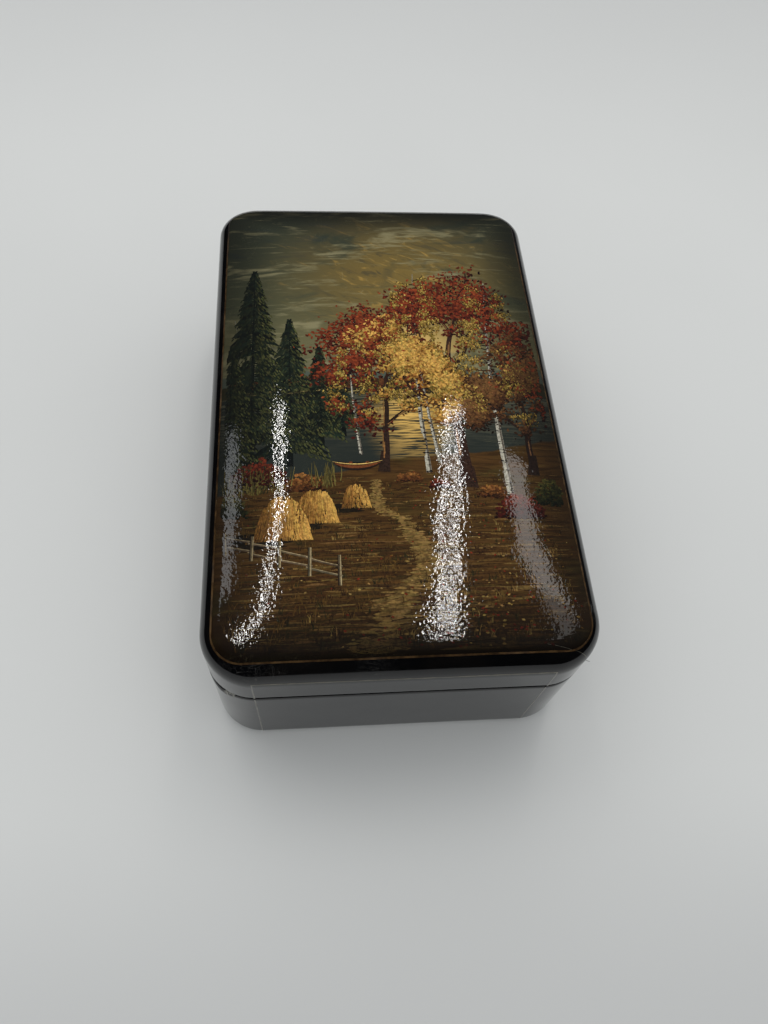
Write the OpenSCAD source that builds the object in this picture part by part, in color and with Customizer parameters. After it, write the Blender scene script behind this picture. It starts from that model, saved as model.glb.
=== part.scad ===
// Lacquered papier-mache box with a hinged, crowned lid and a painted picture layer.
// The origin is under the middle of the box, on the surface that it stands on. The box is
// longest along Y, the lid opens towards -X about a hinge along its left long side.

/* [Box] */
// Width of the box, across its short ends
box_w = 100; // [84:1:130]
// Length of the box, along its hinged side
box_l = 163.5; // [130:0.5:210]
// Radius of the box's four upright corners, seen from above
corner_r = 13.2; // [10:0.2:18]
// Thickness of the wound wall of the base and the lid
wall_t = 5.8; // [5.5:0.1:7]

/* [Base] */
// Height of the base, from the table to its rim
base_h = 35; // [24:0.2:50]
// Radius under the base's outer lower edge
foot_r = 4.4; // [1:0.1:5]
// Radius that wear and lacquer leave on the outer edge of the base's rim
base_rim_r = 1.2; // [0.2:0.1:1.4]
// Thickness of the bottom board
floor_t = 4; // [2:0.2:6]
// Thickness of the lining that stands inside the base's wall
lining_t = 1.4; // [1:0.1:2]
// How far the lining rises above the base's rim, to guide the lid
lip_h = 3.2; // [1.5:0.1:5]

/* [Lid] */
// Height of the lid's upright short ends, up to where their shoulder starts to curve
lid_side_h = 9.5; // [8.6:0.1:16]
// Radius that rounds the lid's shoulder along its short ends
shoulder_r = 7; // [3:0.1:8]
// Radius that rounds the lid's shoulder along its long sides, at most that of the short ends
side_shoulder_r = 4.5; // [3:0.1:8]
// Rise of the lid's crown above its shoulder
crown_h = 3.4; // [1:0.1:6]
// Fullness of the crown: 2 falls evenly, higher values keep the middle flatter
crown_power = 2.4; // [2:0.1:4]
// Radius on the outer edge of the lid's rim
lid_rim_r = 1.2; // [0.2:0.1:1.4]
// Height of the upright edge of the top panel, below the shoulder
panel_edge_h = 1; // [0.4:0.1:1.4]
// Rise of the ceiling inside the lid
ceiling_rise = 6; // [1:0.2:6.4]

/* [Hinge] */
// Distance of the hinge axis from the box's outer side
hinge_in = 3.6; // [3.2:0.1:3.8]
// Distance from where a corner starts to the end of the hinge
hinge_margin = 9; // [2:0.5:20]
// Number of knuckles, shared out between the two leaves
knuckles = 7; // [3:2:11]
// Outer radius of a knuckle
knuckle_r = 1.4; // [1.2:0.05:1.6]
// Radius of the hinge pin
pin_r = 0.55; // [0.4:0.05:0.7]
// Thickness of a leaf
leaf_t = 0.6; // [0.4:0.1:0.8]
// How deep the base's leaf reaches below the hinge axis
base_leaf_h = 9; // [7:0.5:12]
// How high the lid's leaf reaches above the hinge axis
lid_leaf_h = 7; // [6:0.2:7.4]
// Slope of the bevel behind the base's rim, from the horizontal
base_bevel = 50; // [48:1:60]
// Slope of the bevel behind the lid's rim, from the horizontal
lid_bevel = 42; // [40:1:48]

/* [Nails] */
// Number of nails through each leaf
nail_count = 4; // [2:1:6]
// Radius of a nail's shank
nail_r = 0.5; // [0.4:0.05:0.7]
// Length of a nail, head included
nail_l = 4; // [3.2:0.1:4.6]
// Radius of a nail's head
nail_head_r = 1.1; // [0.8:0.05:1.3]
// Thickness of a nail's head
nail_head_t = 0.4; // [0.3:0.05:0.6]
// Drop of the base's nails below the hinge axis
base_nail_drop = 5.5; // [4:0.1:6]
// Rise of the lid's nails above the hinge axis
lid_nail_rise = 4.6; // [3.6:0.1:5]

/* [Picture] */
// Width of the plain black border between a short end and the picture layer
border = 3.9; // [2:0.1:6]
// Width of the plain black border between a long side and the picture layer
side_border = 3.2; // [2:0.1:6]
// How much tighter the picture's corners are than at an even border all round
corner_trim = 1.7; // [0:0.1:3]
// Thickness of the picture layer: ground, paint, leaf and clear lacquer
paint_t = 0.35; // [0.2:0.05:0.6]
// Thickness of the mother-of-pearl plates under the paint
shell_t = 0.45; // [0.3:0.05:0.8]
// Radius that rounds the corners of a plate
shell_corner_r = 2; // [1:0.25:3]

/* [Fits] */
// Gap between the closed lid's rim and the base's rim
rim_gap = 0.05; // [0.02:0.01:0.2]
// Gap round the guiding lip inside the closed lid
lip_gap = 0.3; // [0.2:0.05:0.6]
// Glue line between pieces that are glued together
glue = 0.05; // [0.02:0.01:0.1]
// Radial clearance between the pin and the knuckles
pin_fit = 0.05; // [0.02:0.01:0.08]
// Radial clearance between the knuckles and their bed in the walls
bed_fit = 0.2; // [0.1:0.05:0.3]
// Gap between neighbouring knuckles, and past the hinge's ends
knuckle_gap = 0.2; // [0.1:0.05:0.4]
// Clearance round a leaf in its slot, and round a nail in its hole
leaf_fit = 0.05; // [0.02:0.01:0.1]

/* [Hidden] */

black = [0.03, 0.03, 0.035];
cinnabar = [0.6, 0.12, 0.07];
brass = [0.72, 0.55, 0.28];
pearl = [0.85, 0.83, 0.76];
painted = [0.36, 0.33, 0.22];

arc_fn = 96;
small_fn = 40;
over = 1; // how far a cutter runs past the face that it cuts

half_w = box_w / 2;
half_l = box_l / 2;
rim_z = base_h;
lid_z = base_h + rim_gap;
shoulder_z = lid_z + lid_side_h;
panel_z = shoulder_z - panel_edge_h;
long_shoulder_r = min(side_shoulder_r, shoulder_r);
picture_r = corner_r - border - corner_trim;

inner_x = half_w - wall_t;
hinge_x = hinge_in - half_w;
hinge_z = base_h + rim_gap / 2;
bed_r = knuckle_r + bed_fit;
hinge_l = box_l - 2 * (corner_r + hinge_margin);
knuckle_l = (hinge_l - (knuckles - 1) * knuckle_gap) / knuckles;
plate_start = bed_r + leaf_fit; // where a leaf's plate begins, clear of the other leaf's knuckles

// Corner and side steps of the rings that make the crown
arc_steps = 8;
long_steps = 20;
short_steps = 12;
shoulder_steps = 8;
crown_rings = 11;
crowding = 1.7; // above 1, the crown's rings crowd towards its edge, where it bends most
ceiling_rings = 6;
plate_taper = 0.2; // how much narrower one end of a plate is, in corner radii

// Centres, half lengths, half widths and turns of the mother-of-pearl plates
plates = [
    [-17, 52, 11, 7, 12],
    [7, 59, 11, 7, -8],
    [26, 42, 7, 8, 20],
    [-2, 38, 10, 8, 5],
    [-26, 33, 8, 7, -15],
    [12, 22, 11, 6, 8],
    [-12, 14, 11, 7, -6],
    [-4, -8, 14, 8, 3],
    [18, -4, 6, 9, 10]
];

// Distance of a point from the box's outline, inwards
function inset_at(x, y) =
    let (qx = abs(x) - half_w + corner_r, qy = abs(y) - half_l + corner_r)
    corner_r - min(max(qx, qy), 0) - norm([max(qx, 0), max(qy, 0)]);

// Fall of a crown from 1 at its middle to 0 at its sides
function crown_at(x, y, w, l) =
    (1 - pow(min(1, abs(x) / w), crown_power)) * (1 - pow(min(1, abs(y) / l), crown_power));

// Radius of the shoulder at a point, which passes from the sides' to the ends' in the corners
function shoulder_at(x, y) =
    let (a = max(0, abs(x) - half_w + corner_r), b = max(0, abs(y) - half_l + corner_r))
    shoulder_r - (shoulder_r - long_shoulder_r) * (a > 0 ? a * a / (a * a + b * b) : 0);

// Height of the lid's outer surface
function top_z(x, y) =
    let (r = shoulder_at(x, y), d = r - max(0, min(r, inset_at(x, y))))
    shoulder_z + shoulder_r - r + sqrt(r * r - d * d) + crown_h * crown_at(x, y, half_w, half_l);

// Height of the lid's ceiling
function ceiling_z(x, y) =
    panel_z + ceiling_rise * crown_at(x, y, half_w - wall_t, half_l - wall_t);

// Points of a rounded oblong, anticlockwise, with steps along sides and corners, from the
// place of a corner's centre and the corner's radius
function oblong(cx, cy, r) =
    let (centres = [[cx, cy], [-cx, cy], [-cx, -cy], [cx, -cy]])
    [for (q = [0:3])
        let (
            here = centres[q],
            next = centres[(q + 1) % 4],
            turn = 90 * q,
            leave = here + r * [cos(turn + 90), sin(turn + 90)],
            reach = next + r * [cos(turn + 90), sin(turn + 90)],
            steps = q % 2 == 0 ? short_steps : long_steps
        )
        each concat(
            [for (i = [0:arc_steps - 1])
                let (a = turn + 90 * i / arc_steps)
                here + r * [cos(a), sin(a)]],
            [for (i = [0:steps - 1]) leave + (reach - leave) * i / steps]
        )
    ];

// The box's outline, drawn in by an inset
function outline(inset) = oblong(half_w - corner_r, half_l - corner_r, corner_r - inset);

// The picture's outline, drawn in by an inset
function picture_outline(inset) =
    oblong(half_w - side_border - picture_r, half_l - border - picture_r, picture_r - inset);

// Share of the picture's outline at which a ring of the crown lies
function ring_share(k) = 1 - pow(1 - k / crown_rings, crowding);

function scaled(points, s) = [for (p = points) p * s];
function on_top(points, drop) = [for (p = points) [p[0], p[1], top_z(p[0], p[1]) - drop]];
function on_ceiling(points) = [for (p = points) [p[0], p[1], ceiling_z(p[0], p[1])]];
function at_level(points, z) = [for (p = points) [p[0], p[1], z]];

// Solid skinned over rings of equal count, listed from the top pole outwards, down and back
module ring_solid(top_pole, rings, low_pole) {
    n = len(rings[0]);
    last = 1 + (len(rings) - 1) * n;
    points = concat([top_pole], [for (ring = rings) each ring], [low_pole]);
    top_fan = [for (i = [0:n - 1]) [0, 1 + (i + 1) % n, 1 + i]];
    low_fan = [for (i = [0:n - 1]) [len(points) - 1, last + i, last + (i + 1) % n]];
    bands = [for (k = [0:len(rings) - 2], i = [0:n - 1])
        let (
            a = 1 + k * n + i,
            b = 1 + k * n + (i + 1) % n
        )
        each [[a, b, b + n], [a, b + n, a + n]]];
    polyhedron(points, concat(top_fan, bands, low_fan));
}

// What a rounded corner leaves out of a square one, turned by quarter turns
module corner_sliver(x, z, r, turn) {
    translate([x, z]) rotate(turn) difference() {
        square(r + over);
        circle(r, $fn = small_fn);
    }
}

// Section of a wall between x0 and x1, with rounded edges where a radius is given
module wall_section(x0, x1, z0, z1, low_out = 0, top_out = 0, top_in = 0) {
    difference() {
        translate([x0, z0]) square([x1 - x0, z1 - z0]);
        if (low_out > 0) corner_sliver(x1 - low_out, z0 + low_out, low_out, 270);
        if (top_out > 0) corner_sliver(x1 - top_out, z1 - top_out, top_out, 0);
        if (top_in > 0) corner_sliver(x0 + top_in, z1 - top_in, top_in, 90);
    }
}

// Sweeps a wall's section round the box. Its x is the distance from a corner's centre.
module swept() {
    cx = half_w - corner_r;
    cy = half_l - corner_r;
    for (q = [0:3]) {
        sx = q == 0 || q == 3 ? 1 : -1;
        sy = q < 2 ? 1 : -1;
        translate([sx * cx, sy * cy, 0])
            rotate(90 * q)
                rotate_extrude(angle = 90, $fn = arc_fn) children();
    }
    for (s = [-1, 1]) {
        translate([s * cx, 0, 0])
            rotate(s > 0 ? 0 : 180)
                rotate([90, 0, 0]) linear_extrude(2 * cy, center = true) children();
        translate([0, s * cy, 0])
            rotate(90 * s)
                rotate([90, 0, 0]) linear_extrude(2 * cx, center = true) children();
    }
}

// Board with the plan of the box, drawn in by an inset
module board(inset, z0, z1) {
    r = corner_r - inset;
    translate([0, 0, z0]) linear_extrude(z1 - z0) {
        square([box_w - 2 * inset, box_l - 2 * corner_r], center = true);
        square([box_w - 2 * corner_r, box_l - 2 * inset], center = true);
        for (sx = [-1, 1], sy = [-1, 1])
            translate([sx * (half_w - corner_r), sy * (half_l - corner_r)]) circle(r, $fn = arc_fn);
    }
}

// Prism along the hinge that bevels the outer back edge below (-1) or above (1) the axis
module back_bevel(up, slope) {
    out = hinge_in + over;
    translate([hinge_x, 0, hinge_z]) rotate([90, 0, 0])
        linear_extrude(box_l + 2 * over, center = true)
            polygon([[0, 0], [-out, up * out * tan(slope)], [-out, -up * over], [0, -up * over]]);
}

// Rod along the hinge axis, centred on the box's middle
module axis_rod(r, l) {
    translate([hinge_x, 0, hinge_z]) rotate([90, 0, 0])
        cylinder(h = l, r = r, center = true, $fn = small_fn);
}

// Slot that takes a leaf's plate
module leaf_slot(up, leaf_h) {
    w = leaf_t + 2 * leaf_fit;
    l = hinge_l + 2 * leaf_fit;
    h = leaf_h + leaf_fit;
    translate([hinge_x - w / 2, -l / 2, up > 0 ? hinge_z : hinge_z - h]) cube([w, l, h]);
}

// Nails of one leaf, or with a clearance the holes for them
module nails(up, offset_z, fit) {
    for (i = [0:nail_count - 1]) {
        y = hinge_l * ((i + 0.5) / nail_count - 0.5);
        translate([-inner_x, y, hinge_z + up * offset_z]) rotate([0, -90, 0]) {
            translate([0, 0, -fit]) cylinder(h = nail_l + 2 * fit, r = nail_r + fit, $fn = small_fn);
            translate([0, 0, -fit]) cylinder(h = nail_head_t + 2 * fit, r = nail_head_r + fit, $fn = small_fn);
        }
    }
}

// A leaf: plate, its own knuckles and the necks between them
module hinge_leaf(up, leaf_h, first, nail_z) {
    plate_h = leaf_h - plate_start;
    difference() {
        union() {
            translate([hinge_x - leaf_t / 2, -hinge_l / 2, up > 0 ? hinge_z + plate_start : hinge_z - leaf_h])
                cube([leaf_t, hinge_l, plate_h]);
            for (i = [first:2:knuckles - 1]) {
                y = -hinge_l / 2 + i * (knuckle_l + knuckle_gap);
                translate([hinge_x, y + knuckle_l, hinge_z]) rotate([90, 0, 0])
                    cylinder(h = knuckle_l, r = knuckle_r, $fn = small_fn);
                translate([hinge_x - leaf_t / 2, y, up > 0 ? hinge_z : hinge_z - plate_start - leaf_fit])
                    cube([leaf_t, knuckle_l, plate_start + leaf_fit]);
            }
        }
        axis_rod(pin_r + pin_fit, hinge_l + 2 * over);
        nails(up, nail_z, leaf_fit);
    }
}

// One mother-of-pearl plate, or its pocket. It lies just under the paint where the crown is lowest.
module shell_plate(p, fit, rise) {
    hull() for (sx = [-1, 1], sy = [-1, 1]) {
        corner = [sx * (p[2] - shell_corner_r), sy * (p[3] - shell_corner_r * (1 + sx * plate_taper))];
        x = p[0] + corner[0] * cos(p[4]) - corner[1] * sin(p[4]);
        y = p[1] + corner[0] * sin(p[4]) + corner[1] * cos(p[4]);
        lowest = top_z(abs(x) + shell_corner_r, abs(y) + shell_corner_r) - paint_t - glue;
        translate([x, y, lowest - shell_t - fit])
            cylinder(h = shell_t + fit + rise, r = shell_corner_r + fit, $fn = 16);
    }
}

module base_wall() {
    color(black) difference() {
        swept() wall_section(corner_r - wall_t, corner_r, 0, rim_z, low_out = foot_r, top_out = base_rim_r);
        back_bevel(-1, base_bevel);
        axis_rod(bed_r, hinge_l + 2 * knuckle_gap);
        leaf_slot(-1, base_leaf_h);
        nails(-1, base_nail_drop, leaf_fit);
    }
}

module base_bottom() {
    color(black) board(wall_t + glue, 0, floor_t);
}

module base_lining() {
    outer = corner_r - wall_t - glue;
    inner = outer - lining_t;
    lip = corner_r - wall_t - lip_gap;
    edge = (lip - inner) / 3;
    color(cinnabar) swept() {
        wall_section(inner, outer, floor_t + glue, rim_z - lip_gap);
        wall_section(inner, lip, floor_t + glue, rim_z + lip_h, top_out = edge, top_in = edge);
    }
}

module base_hinge_leaf() {
    color(brass) hinge_leaf(-1, base_leaf_h, 0, base_nail_drop);
}

module base_hinge_nails() {
    color(brass) nails(-1, base_nail_drop, 0);
}

module hinge_pin() {
    color(brass) axis_rod(pin_r, hinge_l);
}

module lid_wall() {
    color(black) difference() {
        translate([0, 0, lid_z]) mirror([0, 0, 1])
            swept() wall_section(corner_r - wall_t, corner_r, lid_z - panel_z + glue, 0, top_out = lid_rim_r);
        back_bevel(1, lid_bevel);
        axis_rod(bed_r, hinge_l + 2 * knuckle_gap);
        leaf_slot(1, lid_leaf_h);
        nails(1, lid_nail_rise, leaf_fit);
    }
}

module lid_top() {
    frame = picture_outline(0);
    apart = [corner_r - side_border - picture_r, corner_r - border - picture_r];
    frame_inset = min(side_border, border, corner_r - picture_r - norm(apart)); // at its corners
    inside = outline(wall_t);
    shoulder = [for (i = [shoulder_steps:-1:0]) shoulder_r * (1 - cos(90 * i / shoulder_steps))];
    rings = concat(
        [for (k = [1:crown_rings]) on_top(scaled(frame, ring_share(k)), paint_t + glue)],
        [on_top(frame, 0)],
        [for (d = shoulder) if (d < frame_inset - glue) on_top(outline(d), 0)],
        [at_level(outline(0), panel_z), at_level(inside, panel_z)],
        [for (k = [ceiling_rings - 1:-1:1]) on_ceiling(scaled(inside, k / ceiling_rings))]
    );
    color(black) difference() {
        ring_solid([0, 0, top_z(0, 0) - paint_t - glue], rings, [0, 0, ceiling_z(0, 0)]);
        for (p = plates) shell_plate(p, glue, over);
    }
}

module pearl_inlay() {
    color(pearl) for (p = plates) shell_plate(p, 0, 0);
}

module picture_layer() {
    frame = picture_outline(glue);
    rings = concat(
        [for (k = [1:crown_rings]) on_top(scaled(frame, ring_share(k)), 0)],
        [for (k = [crown_rings:-1:1]) on_top(scaled(frame, ring_share(k)), paint_t)]
    );
    color(painted) ring_solid([0, 0, top_z(0, 0)], rings, [0, 0, top_z(0, 0) - paint_t]);
}

module lid_hinge_leaf() {
    color(brass) hinge_leaf(1, lid_leaf_h, 1, lid_nail_rise);
}

module lid_hinge_nails() {
    color(brass) nails(1, lid_nail_rise, 0);
}

base_wall();
base_bottom();
base_lining();
base_hinge_leaf();
base_hinge_nails();
hinge_pin();
lid_wall();
lid_top();
pearl_inlay();
picture_layer();
lid_hinge_leaf();
lid_hinge_nails();
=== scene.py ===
import math
import random

import bmesh
import bpy
from mathutils import Matrix, Vector, noise


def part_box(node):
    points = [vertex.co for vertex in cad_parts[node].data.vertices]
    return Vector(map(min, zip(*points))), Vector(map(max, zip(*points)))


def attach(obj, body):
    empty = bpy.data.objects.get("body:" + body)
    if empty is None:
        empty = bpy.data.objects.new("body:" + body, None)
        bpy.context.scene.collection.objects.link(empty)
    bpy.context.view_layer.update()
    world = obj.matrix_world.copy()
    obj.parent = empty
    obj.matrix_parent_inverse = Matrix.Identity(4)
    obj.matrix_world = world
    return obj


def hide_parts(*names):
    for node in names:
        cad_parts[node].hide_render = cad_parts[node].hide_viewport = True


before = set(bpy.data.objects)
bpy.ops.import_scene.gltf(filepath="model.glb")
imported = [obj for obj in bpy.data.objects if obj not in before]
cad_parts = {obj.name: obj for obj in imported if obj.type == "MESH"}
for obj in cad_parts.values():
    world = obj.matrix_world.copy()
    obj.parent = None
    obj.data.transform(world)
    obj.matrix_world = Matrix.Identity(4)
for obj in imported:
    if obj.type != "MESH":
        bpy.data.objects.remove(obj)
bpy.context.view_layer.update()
scene = bpy.context.scene
mm = 0.001


def boxOf(node):
    low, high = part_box(node)
    return low / mm, high / mm


def sRGB(red, green, blue):
    # 0..255 as a painter reads it off a chart, made linear for the shaders
    channels = [value / 255 for value in (red, green, blue)]
    return tuple(c / 12.92 if c <= 0.04045 else ((c + 0.055) / 1.055) ** 2.4 for c in channels) + (1.0,)


# Camera, as the photograph was taken: metres and degrees
camera = {
    "place": (-0.02204, -0.13871, 0.23054),
    "turn": 10.623,
    "dip": 60.24,
    "roll": 7.949,
    "lens": 27.551,
}


def makeCamera():
    turn, dip, roll = (math.radians(camera[key]) for key in ("turn", "dip", "roll"))
    ahead = Vector((math.sin(turn) * math.cos(dip), math.cos(turn) * math.cos(dip), -math.sin(dip)))
    right = Vector((math.cos(turn), -math.sin(turn), 0))
    up = right.cross(ahead)
    rolledRight = math.cos(roll) * right + math.sin(roll) * up
    rolledUp = math.cos(roll) * up - math.sin(roll) * right
    eye = bpy.data.objects.new("camera", bpy.data.cameras.new("camera"))
    scene.collection.objects.link(eye)
    axes = Matrix((rolledRight, rolledUp, -ahead)).transposed()
    eye.matrix_world = Matrix.Translation(camera["place"]) @ axes.to_4x4()
    eye.data.lens = camera["lens"]
    eye.data.clip_start = 0.01
    scene.camera = eye


makeCamera()
print("camera in place")

# Sizes of the box in millimetres. The frame gives its outer sizes and its seam.
wallLow, wallHigh = boxOf("base_wall")
lidLow, lidHigh = boxOf("lid_wall")
topLow, topHigh = boxOf("lid_top")
box = {
    "halfWidth": wallHigh.x,
    "halfLength": wallHigh.y,
    "cornerRadius": 13.2,
    "wall": 5.8,
    "rim": wallHigh.z,
    "lidRim": lidLow.z,
    "panel": topLow.z,
    "shoulder": topLow.z + 1,
    "shoulderRadius": 7,
    "sideShoulder": 4.5,
    "crownRise": 3.4,
    "crownPower": 2.4,
    "ceilingRise": 6,
    "border": 3.9,
    "sideBorder": 3.2,
    "cornerTrim": 1.7,
    "paint": 0.35,
    "glue": 0.05,
}
box["pictureRadius"] = box["cornerRadius"] - box["border"] - box["cornerTrim"]


# What the shaders are built from

# Every node goes into the tree that is being built
work = {"tree": None}


def feed(socket, value):
    if isinstance(value, bpy.types.NodeSocket):
        work["tree"].links.new(value, socket)
    else:
        socket.default_value = value


def addNode(kind, inputs=None, **options):
    node = work["tree"].nodes.new("ShaderNode" + kind)
    for name, value in options.items():
        setattr(node, name, value)
    for name, value in (inputs or {}).items():
        feed(node.inputs[name], value)
    return node


def calc(operation, *values):
    return addNode("Math", dict(enumerate(values)), operation=operation).outputs[0]


def times(first, second):
    return calc("MULTIPLY", first, second)


def timesPlus(value, factor, more):
    return calc("MULTIPLY_ADD", value, factor, more)


def less(first, second):
    return calc("SUBTRACT", first, second)


def most(first, second):
    return calc("MAXIMUM", first, second)


def vectorCalc(operation, *values):
    node = addNode("VectorMath", dict(enumerate(values)), operation=operation)
    return node.outputs["Value" if operation in ("LENGTH", "DOT_PRODUCT") else "Vector"]


def scaled(vector, factors):
    return vectorCalc("MULTIPLY", vector, factors)


def remap(value, low, high, outLow=0.0, outHigh=1.0):
    inputs = {"Value": value, "From Min": low, "From Max": high, "To Min": outLow, "To Max": outHigh}
    return addNode("MapRange", inputs, interpolation_type="SMOOTHSTEP").outputs[0]


def mixColor(factor, first, second):
    return addNode("Mix", {0: factor, 6: first, 7: second}, data_type="RGBA").outputs[2]


def ramp(factor, stops):
    node = addNode("ValToRGB", {"Fac": factor})
    elements = node.color_ramp.elements
    while len(elements) < len(stops):
        elements.new(1.0)
    for element, (place, color) in zip(elements, stops):
        element.position = place
        element.color = color
    return node.outputs[0]


def noiseOf(vector, scale, detail=3.0, roughness=0.5, distortion=0.0):
    inputs = {
        "Vector": vector, "Scale": scale, "Detail": detail,
        "Roughness": roughness, "Distortion": distortion,
    }
    return addNode("TexNoise", inputs).outputs[0]


def noiseColor(vector, scale):
    return addNode("TexNoise", {"Vector": vector, "Scale": scale}).outputs[1]


def bumpOf(height, strength, distance):
    return addNode("Bump", {"Height": height, "Strength": strength, "Distance": distance}).outputs[0]


def objectPoint():
    # the point in the object's own frame, in millimetres
    return scaled(addNode("TexCoord").outputs["Object"], (1000, 1000, 1000))


def parts(vector):
    return addNode("SeparateXYZ", {0: vector}).outputs[:]


def newGroup(name, inputs, outputs):
    group = bpy.data.node_groups.new(name, "ShaderNodeTree")
    for label, value in inputs.items():
        socket = group.interface.new_socket(name=label, in_out="INPUT", socket_type="NodeSocketFloat")
        socket.default_value = value
    for label, kind in outputs.items():
        group.interface.new_socket(name=label, in_out="OUTPUT", socket_type="NodeSocket" + kind)
    work["tree"] = group
    start = group.nodes.new("NodeGroupInput").outputs
    return group, start, group.nodes.new("NodeGroupOutput").inputs


def useGroup(source, inputs):
    node = addNode("Group", node_tree=source)
    for name, value in inputs.items():
        feed(node.inputs[name], value)
    return node.outputs


def newMaterial(name, sockets):
    # sockets: a function that builds the nodes and gives the shader's sockets
    material = bpy.data.materials.new(name)
    material.use_nodes = True
    work["tree"] = material.node_tree
    work["tree"].nodes.clear()
    shader = addNode("BsdfPrincipled", sockets())
    addNode("OutputMaterial", {"Surface": shader.outputs[0]})
    return material


# Groups that more than one finish uses

def makeLacquerSkin():
    # the slight orange peel, ripples and handling marks of hand-rubbed lacquer
    group, start, end = newGroup(
        "lacquerSkin", {"Gloss": 0.1, "Peel": 1.0, "Dimples": 0.0, "Smudge": 0.1},
        {"Roughness": "Float", "Normal": "Vector"})
    point = objectPoint()
    height = timesPlus(noiseOf(point, 0.06, 1.0), 0.15, times(noiseOf(point, 1.1, 1.0), 0.0035))
    height = times(height, start["Peel"])
    dimples = noiseOf(vectorCalc("ADD", point, (17, 5, 9)), 1.1, 1.0)
    height = timesPlus(times(dimples, start["Dimples"]), 0.018, height)
    feed(end["Normal"], bumpOf(height, 1.0, 0.001))
    cloud = remap(noiseOf(point, 0.055, 5.0, 0.6, 1.2), 0.45, 0.75)
    fine = remap(noiseOf(point, 0.8, 4.0, 0.7), 0.5, 0.8)
    marks = times(timesPlus(fine, 0.4, cloud), start["Smudge"])
    feed(end["Roughness"], calc("ADD", start["Gloss"], marks))
    return group


def makeHairlines():
    # fine scratches that run every way, as a mask
    group, start, end = newGroup("hairlines", {"Amount": 0.5}, {"Mask": "Float"})
    point = objectPoint()
    bent = vectorCalc("ADD", point, scaled(noiseColor(point, 0.05), (14, 14, 14)))
    lines = 0.0
    for stretch in ((0.9, 0.03, 0.4), (0.04, 0.8, 0.3), (0.5, 0.45, 0.02)):
        ridge = calc("ABSOLUTE", less(noiseOf(scaled(bent, stretch), 1.6, 1.0), 0.5))
        patch = remap(noiseOf(vectorCalc("ADD", point, (31, 7, 5)), 0.09, 2.0), 0.5, 0.68)
        lines = most(lines, times(remap(ridge, 0.0, 0.006, 1.0, 0.0), patch))
    feed(end["Mask"], times(lines, start["Amount"]))
    return group


lacquerSkin = makeLacquerSkin()
hairlines = makeHairlines()


def lacquered(color, gloss, peel, smudge, ior=1.5, dimples=0.0):
    skin = useGroup(lacquerSkin, {"Gloss": gloss, "Peel": peel, "Dimples": dimples, "Smudge": smudge})
    return {"Base Color": color, "Roughness": skin["Roughness"], "Normal": skin["Normal"], "IOR": ior}


# Materials

blackLacquer = {
    "deep": sRGB(4, 4, 5),
    "warm": sRGB(11, 9, 8),
    "bare": sRGB(104, 92, 76),
    "scratch": sRGB(92, 90, 86),
    "chip": sRGB(122, 120, 112),
    "chipPlace": (-44.5, -79.3, 33.6),
    "gloss": 0.07,
}


def blackSockets():
    point = objectPoint()
    warm = remap(noiseOf(point, 0.06, 4.0, 0.6), 0.4, 0.75)
    color = mixColor(warm, blackLacquer["deep"], blackLacquer["warm"])
    color = mixColor(useGroup(hairlines, {"Amount": 0.35})["Mask"], color, blackLacquer["scratch"])
    # rubbed edges at the two rims and at the foot
    height = parts(point)[2]
    worn = 0.0
    for level, reach in ((box["rim"], 0.9), (box["lidRim"], 0.7), (0.0, 1.1)):
        worn = most(worn, remap(calc("ABSOLUTE", less(height, level)), 0.0, reach, 1.0, 0.0))
    worn = times(worn, remap(noiseOf(point, 0.45, 5.0, 0.7), 0.6, 0.74))
    color = mixColor(worn, color, blackLacquer["bare"])
    # flakes knocked off at one near corner of the seam
    away = vectorCalc("LENGTH", vectorCalc("SUBTRACT", point, blackLacquer["chipPlace"]))
    flakes = times(remap(away, 3.2, 1.6), remap(noiseOf(point, 1.3, 3.0, 0.6), 0.5, 0.56))
    color = mixColor(flakes, color, blackLacquer["chip"])
    sockets = lacquered(color, blackLacquer["gloss"], 0.55, 0.1, 1.6)
    sockets["Roughness"] = timesPlus(most(worn, flakes), 0.5, sockets["Roughness"])
    return sockets


redLacquer = {
    "bright": sRGB(158, 42, 26),
    "deep": sRGB(112, 24, 16),
    "gloss": 0.22,
}


def redSockets():
    point = objectPoint()
    brush = noiseOf(scaled(point, (0.25, 1.6, 0.25)), 0.5, 4.0, 0.6)
    tone = remap(timesPlus(brush, 0.6, noiseOf(point, 0.05, 4.0, 0.6)), 0.55, 1.05)
    color = mixColor(tone, redLacquer["deep"], redLacquer["bright"])
    return lacquered(color, redLacquer["gloss"], 1.1, 0.2)


goldPaint = {
    "bright": sRGB(136, 104, 66),
    "dull": sRGB(84, 62, 42),
    "rubbed": sRGB(34, 28, 24),
}
fadedGold = {
    "bright": sRGB(112, 108, 94),
    "dull": sRGB(88, 84, 74),
    "rubbed": sRGB(34, 33, 32),
}


def goldSockets(paint=goldPaint):
    point = objectPoint()
    tone = remap(noiseOf(point, 0.35, 4.0, 0.7), 0.35, 0.65)
    rubbed = times(remap(noiseOf(point, 0.09, 3.0, 0.6), 0.5, 0.7), 0.7)
    # hands have rubbed it away at the far end
    rubbed = most(rubbed, remap(parts(point)[1], 50, 68))
    color = mixColor(rubbed, mixColor(tone, paint["dull"], paint["bright"]), paint["rubbed"])
    metallic = less(0.85, times(rubbed, 0.8))
    return lacquered(color, 0.3, 1.4, 0.2) | {"Metallic": metallic, "Coat Weight": 0.6, "Coat Roughness": 0.1}


brassFinish = {
    "bright": sRGB(184, 146, 84),
    "tarnish": sRGB(92, 66, 40),
    "lacquer": sRGB(22, 19, 17),
}


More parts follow.
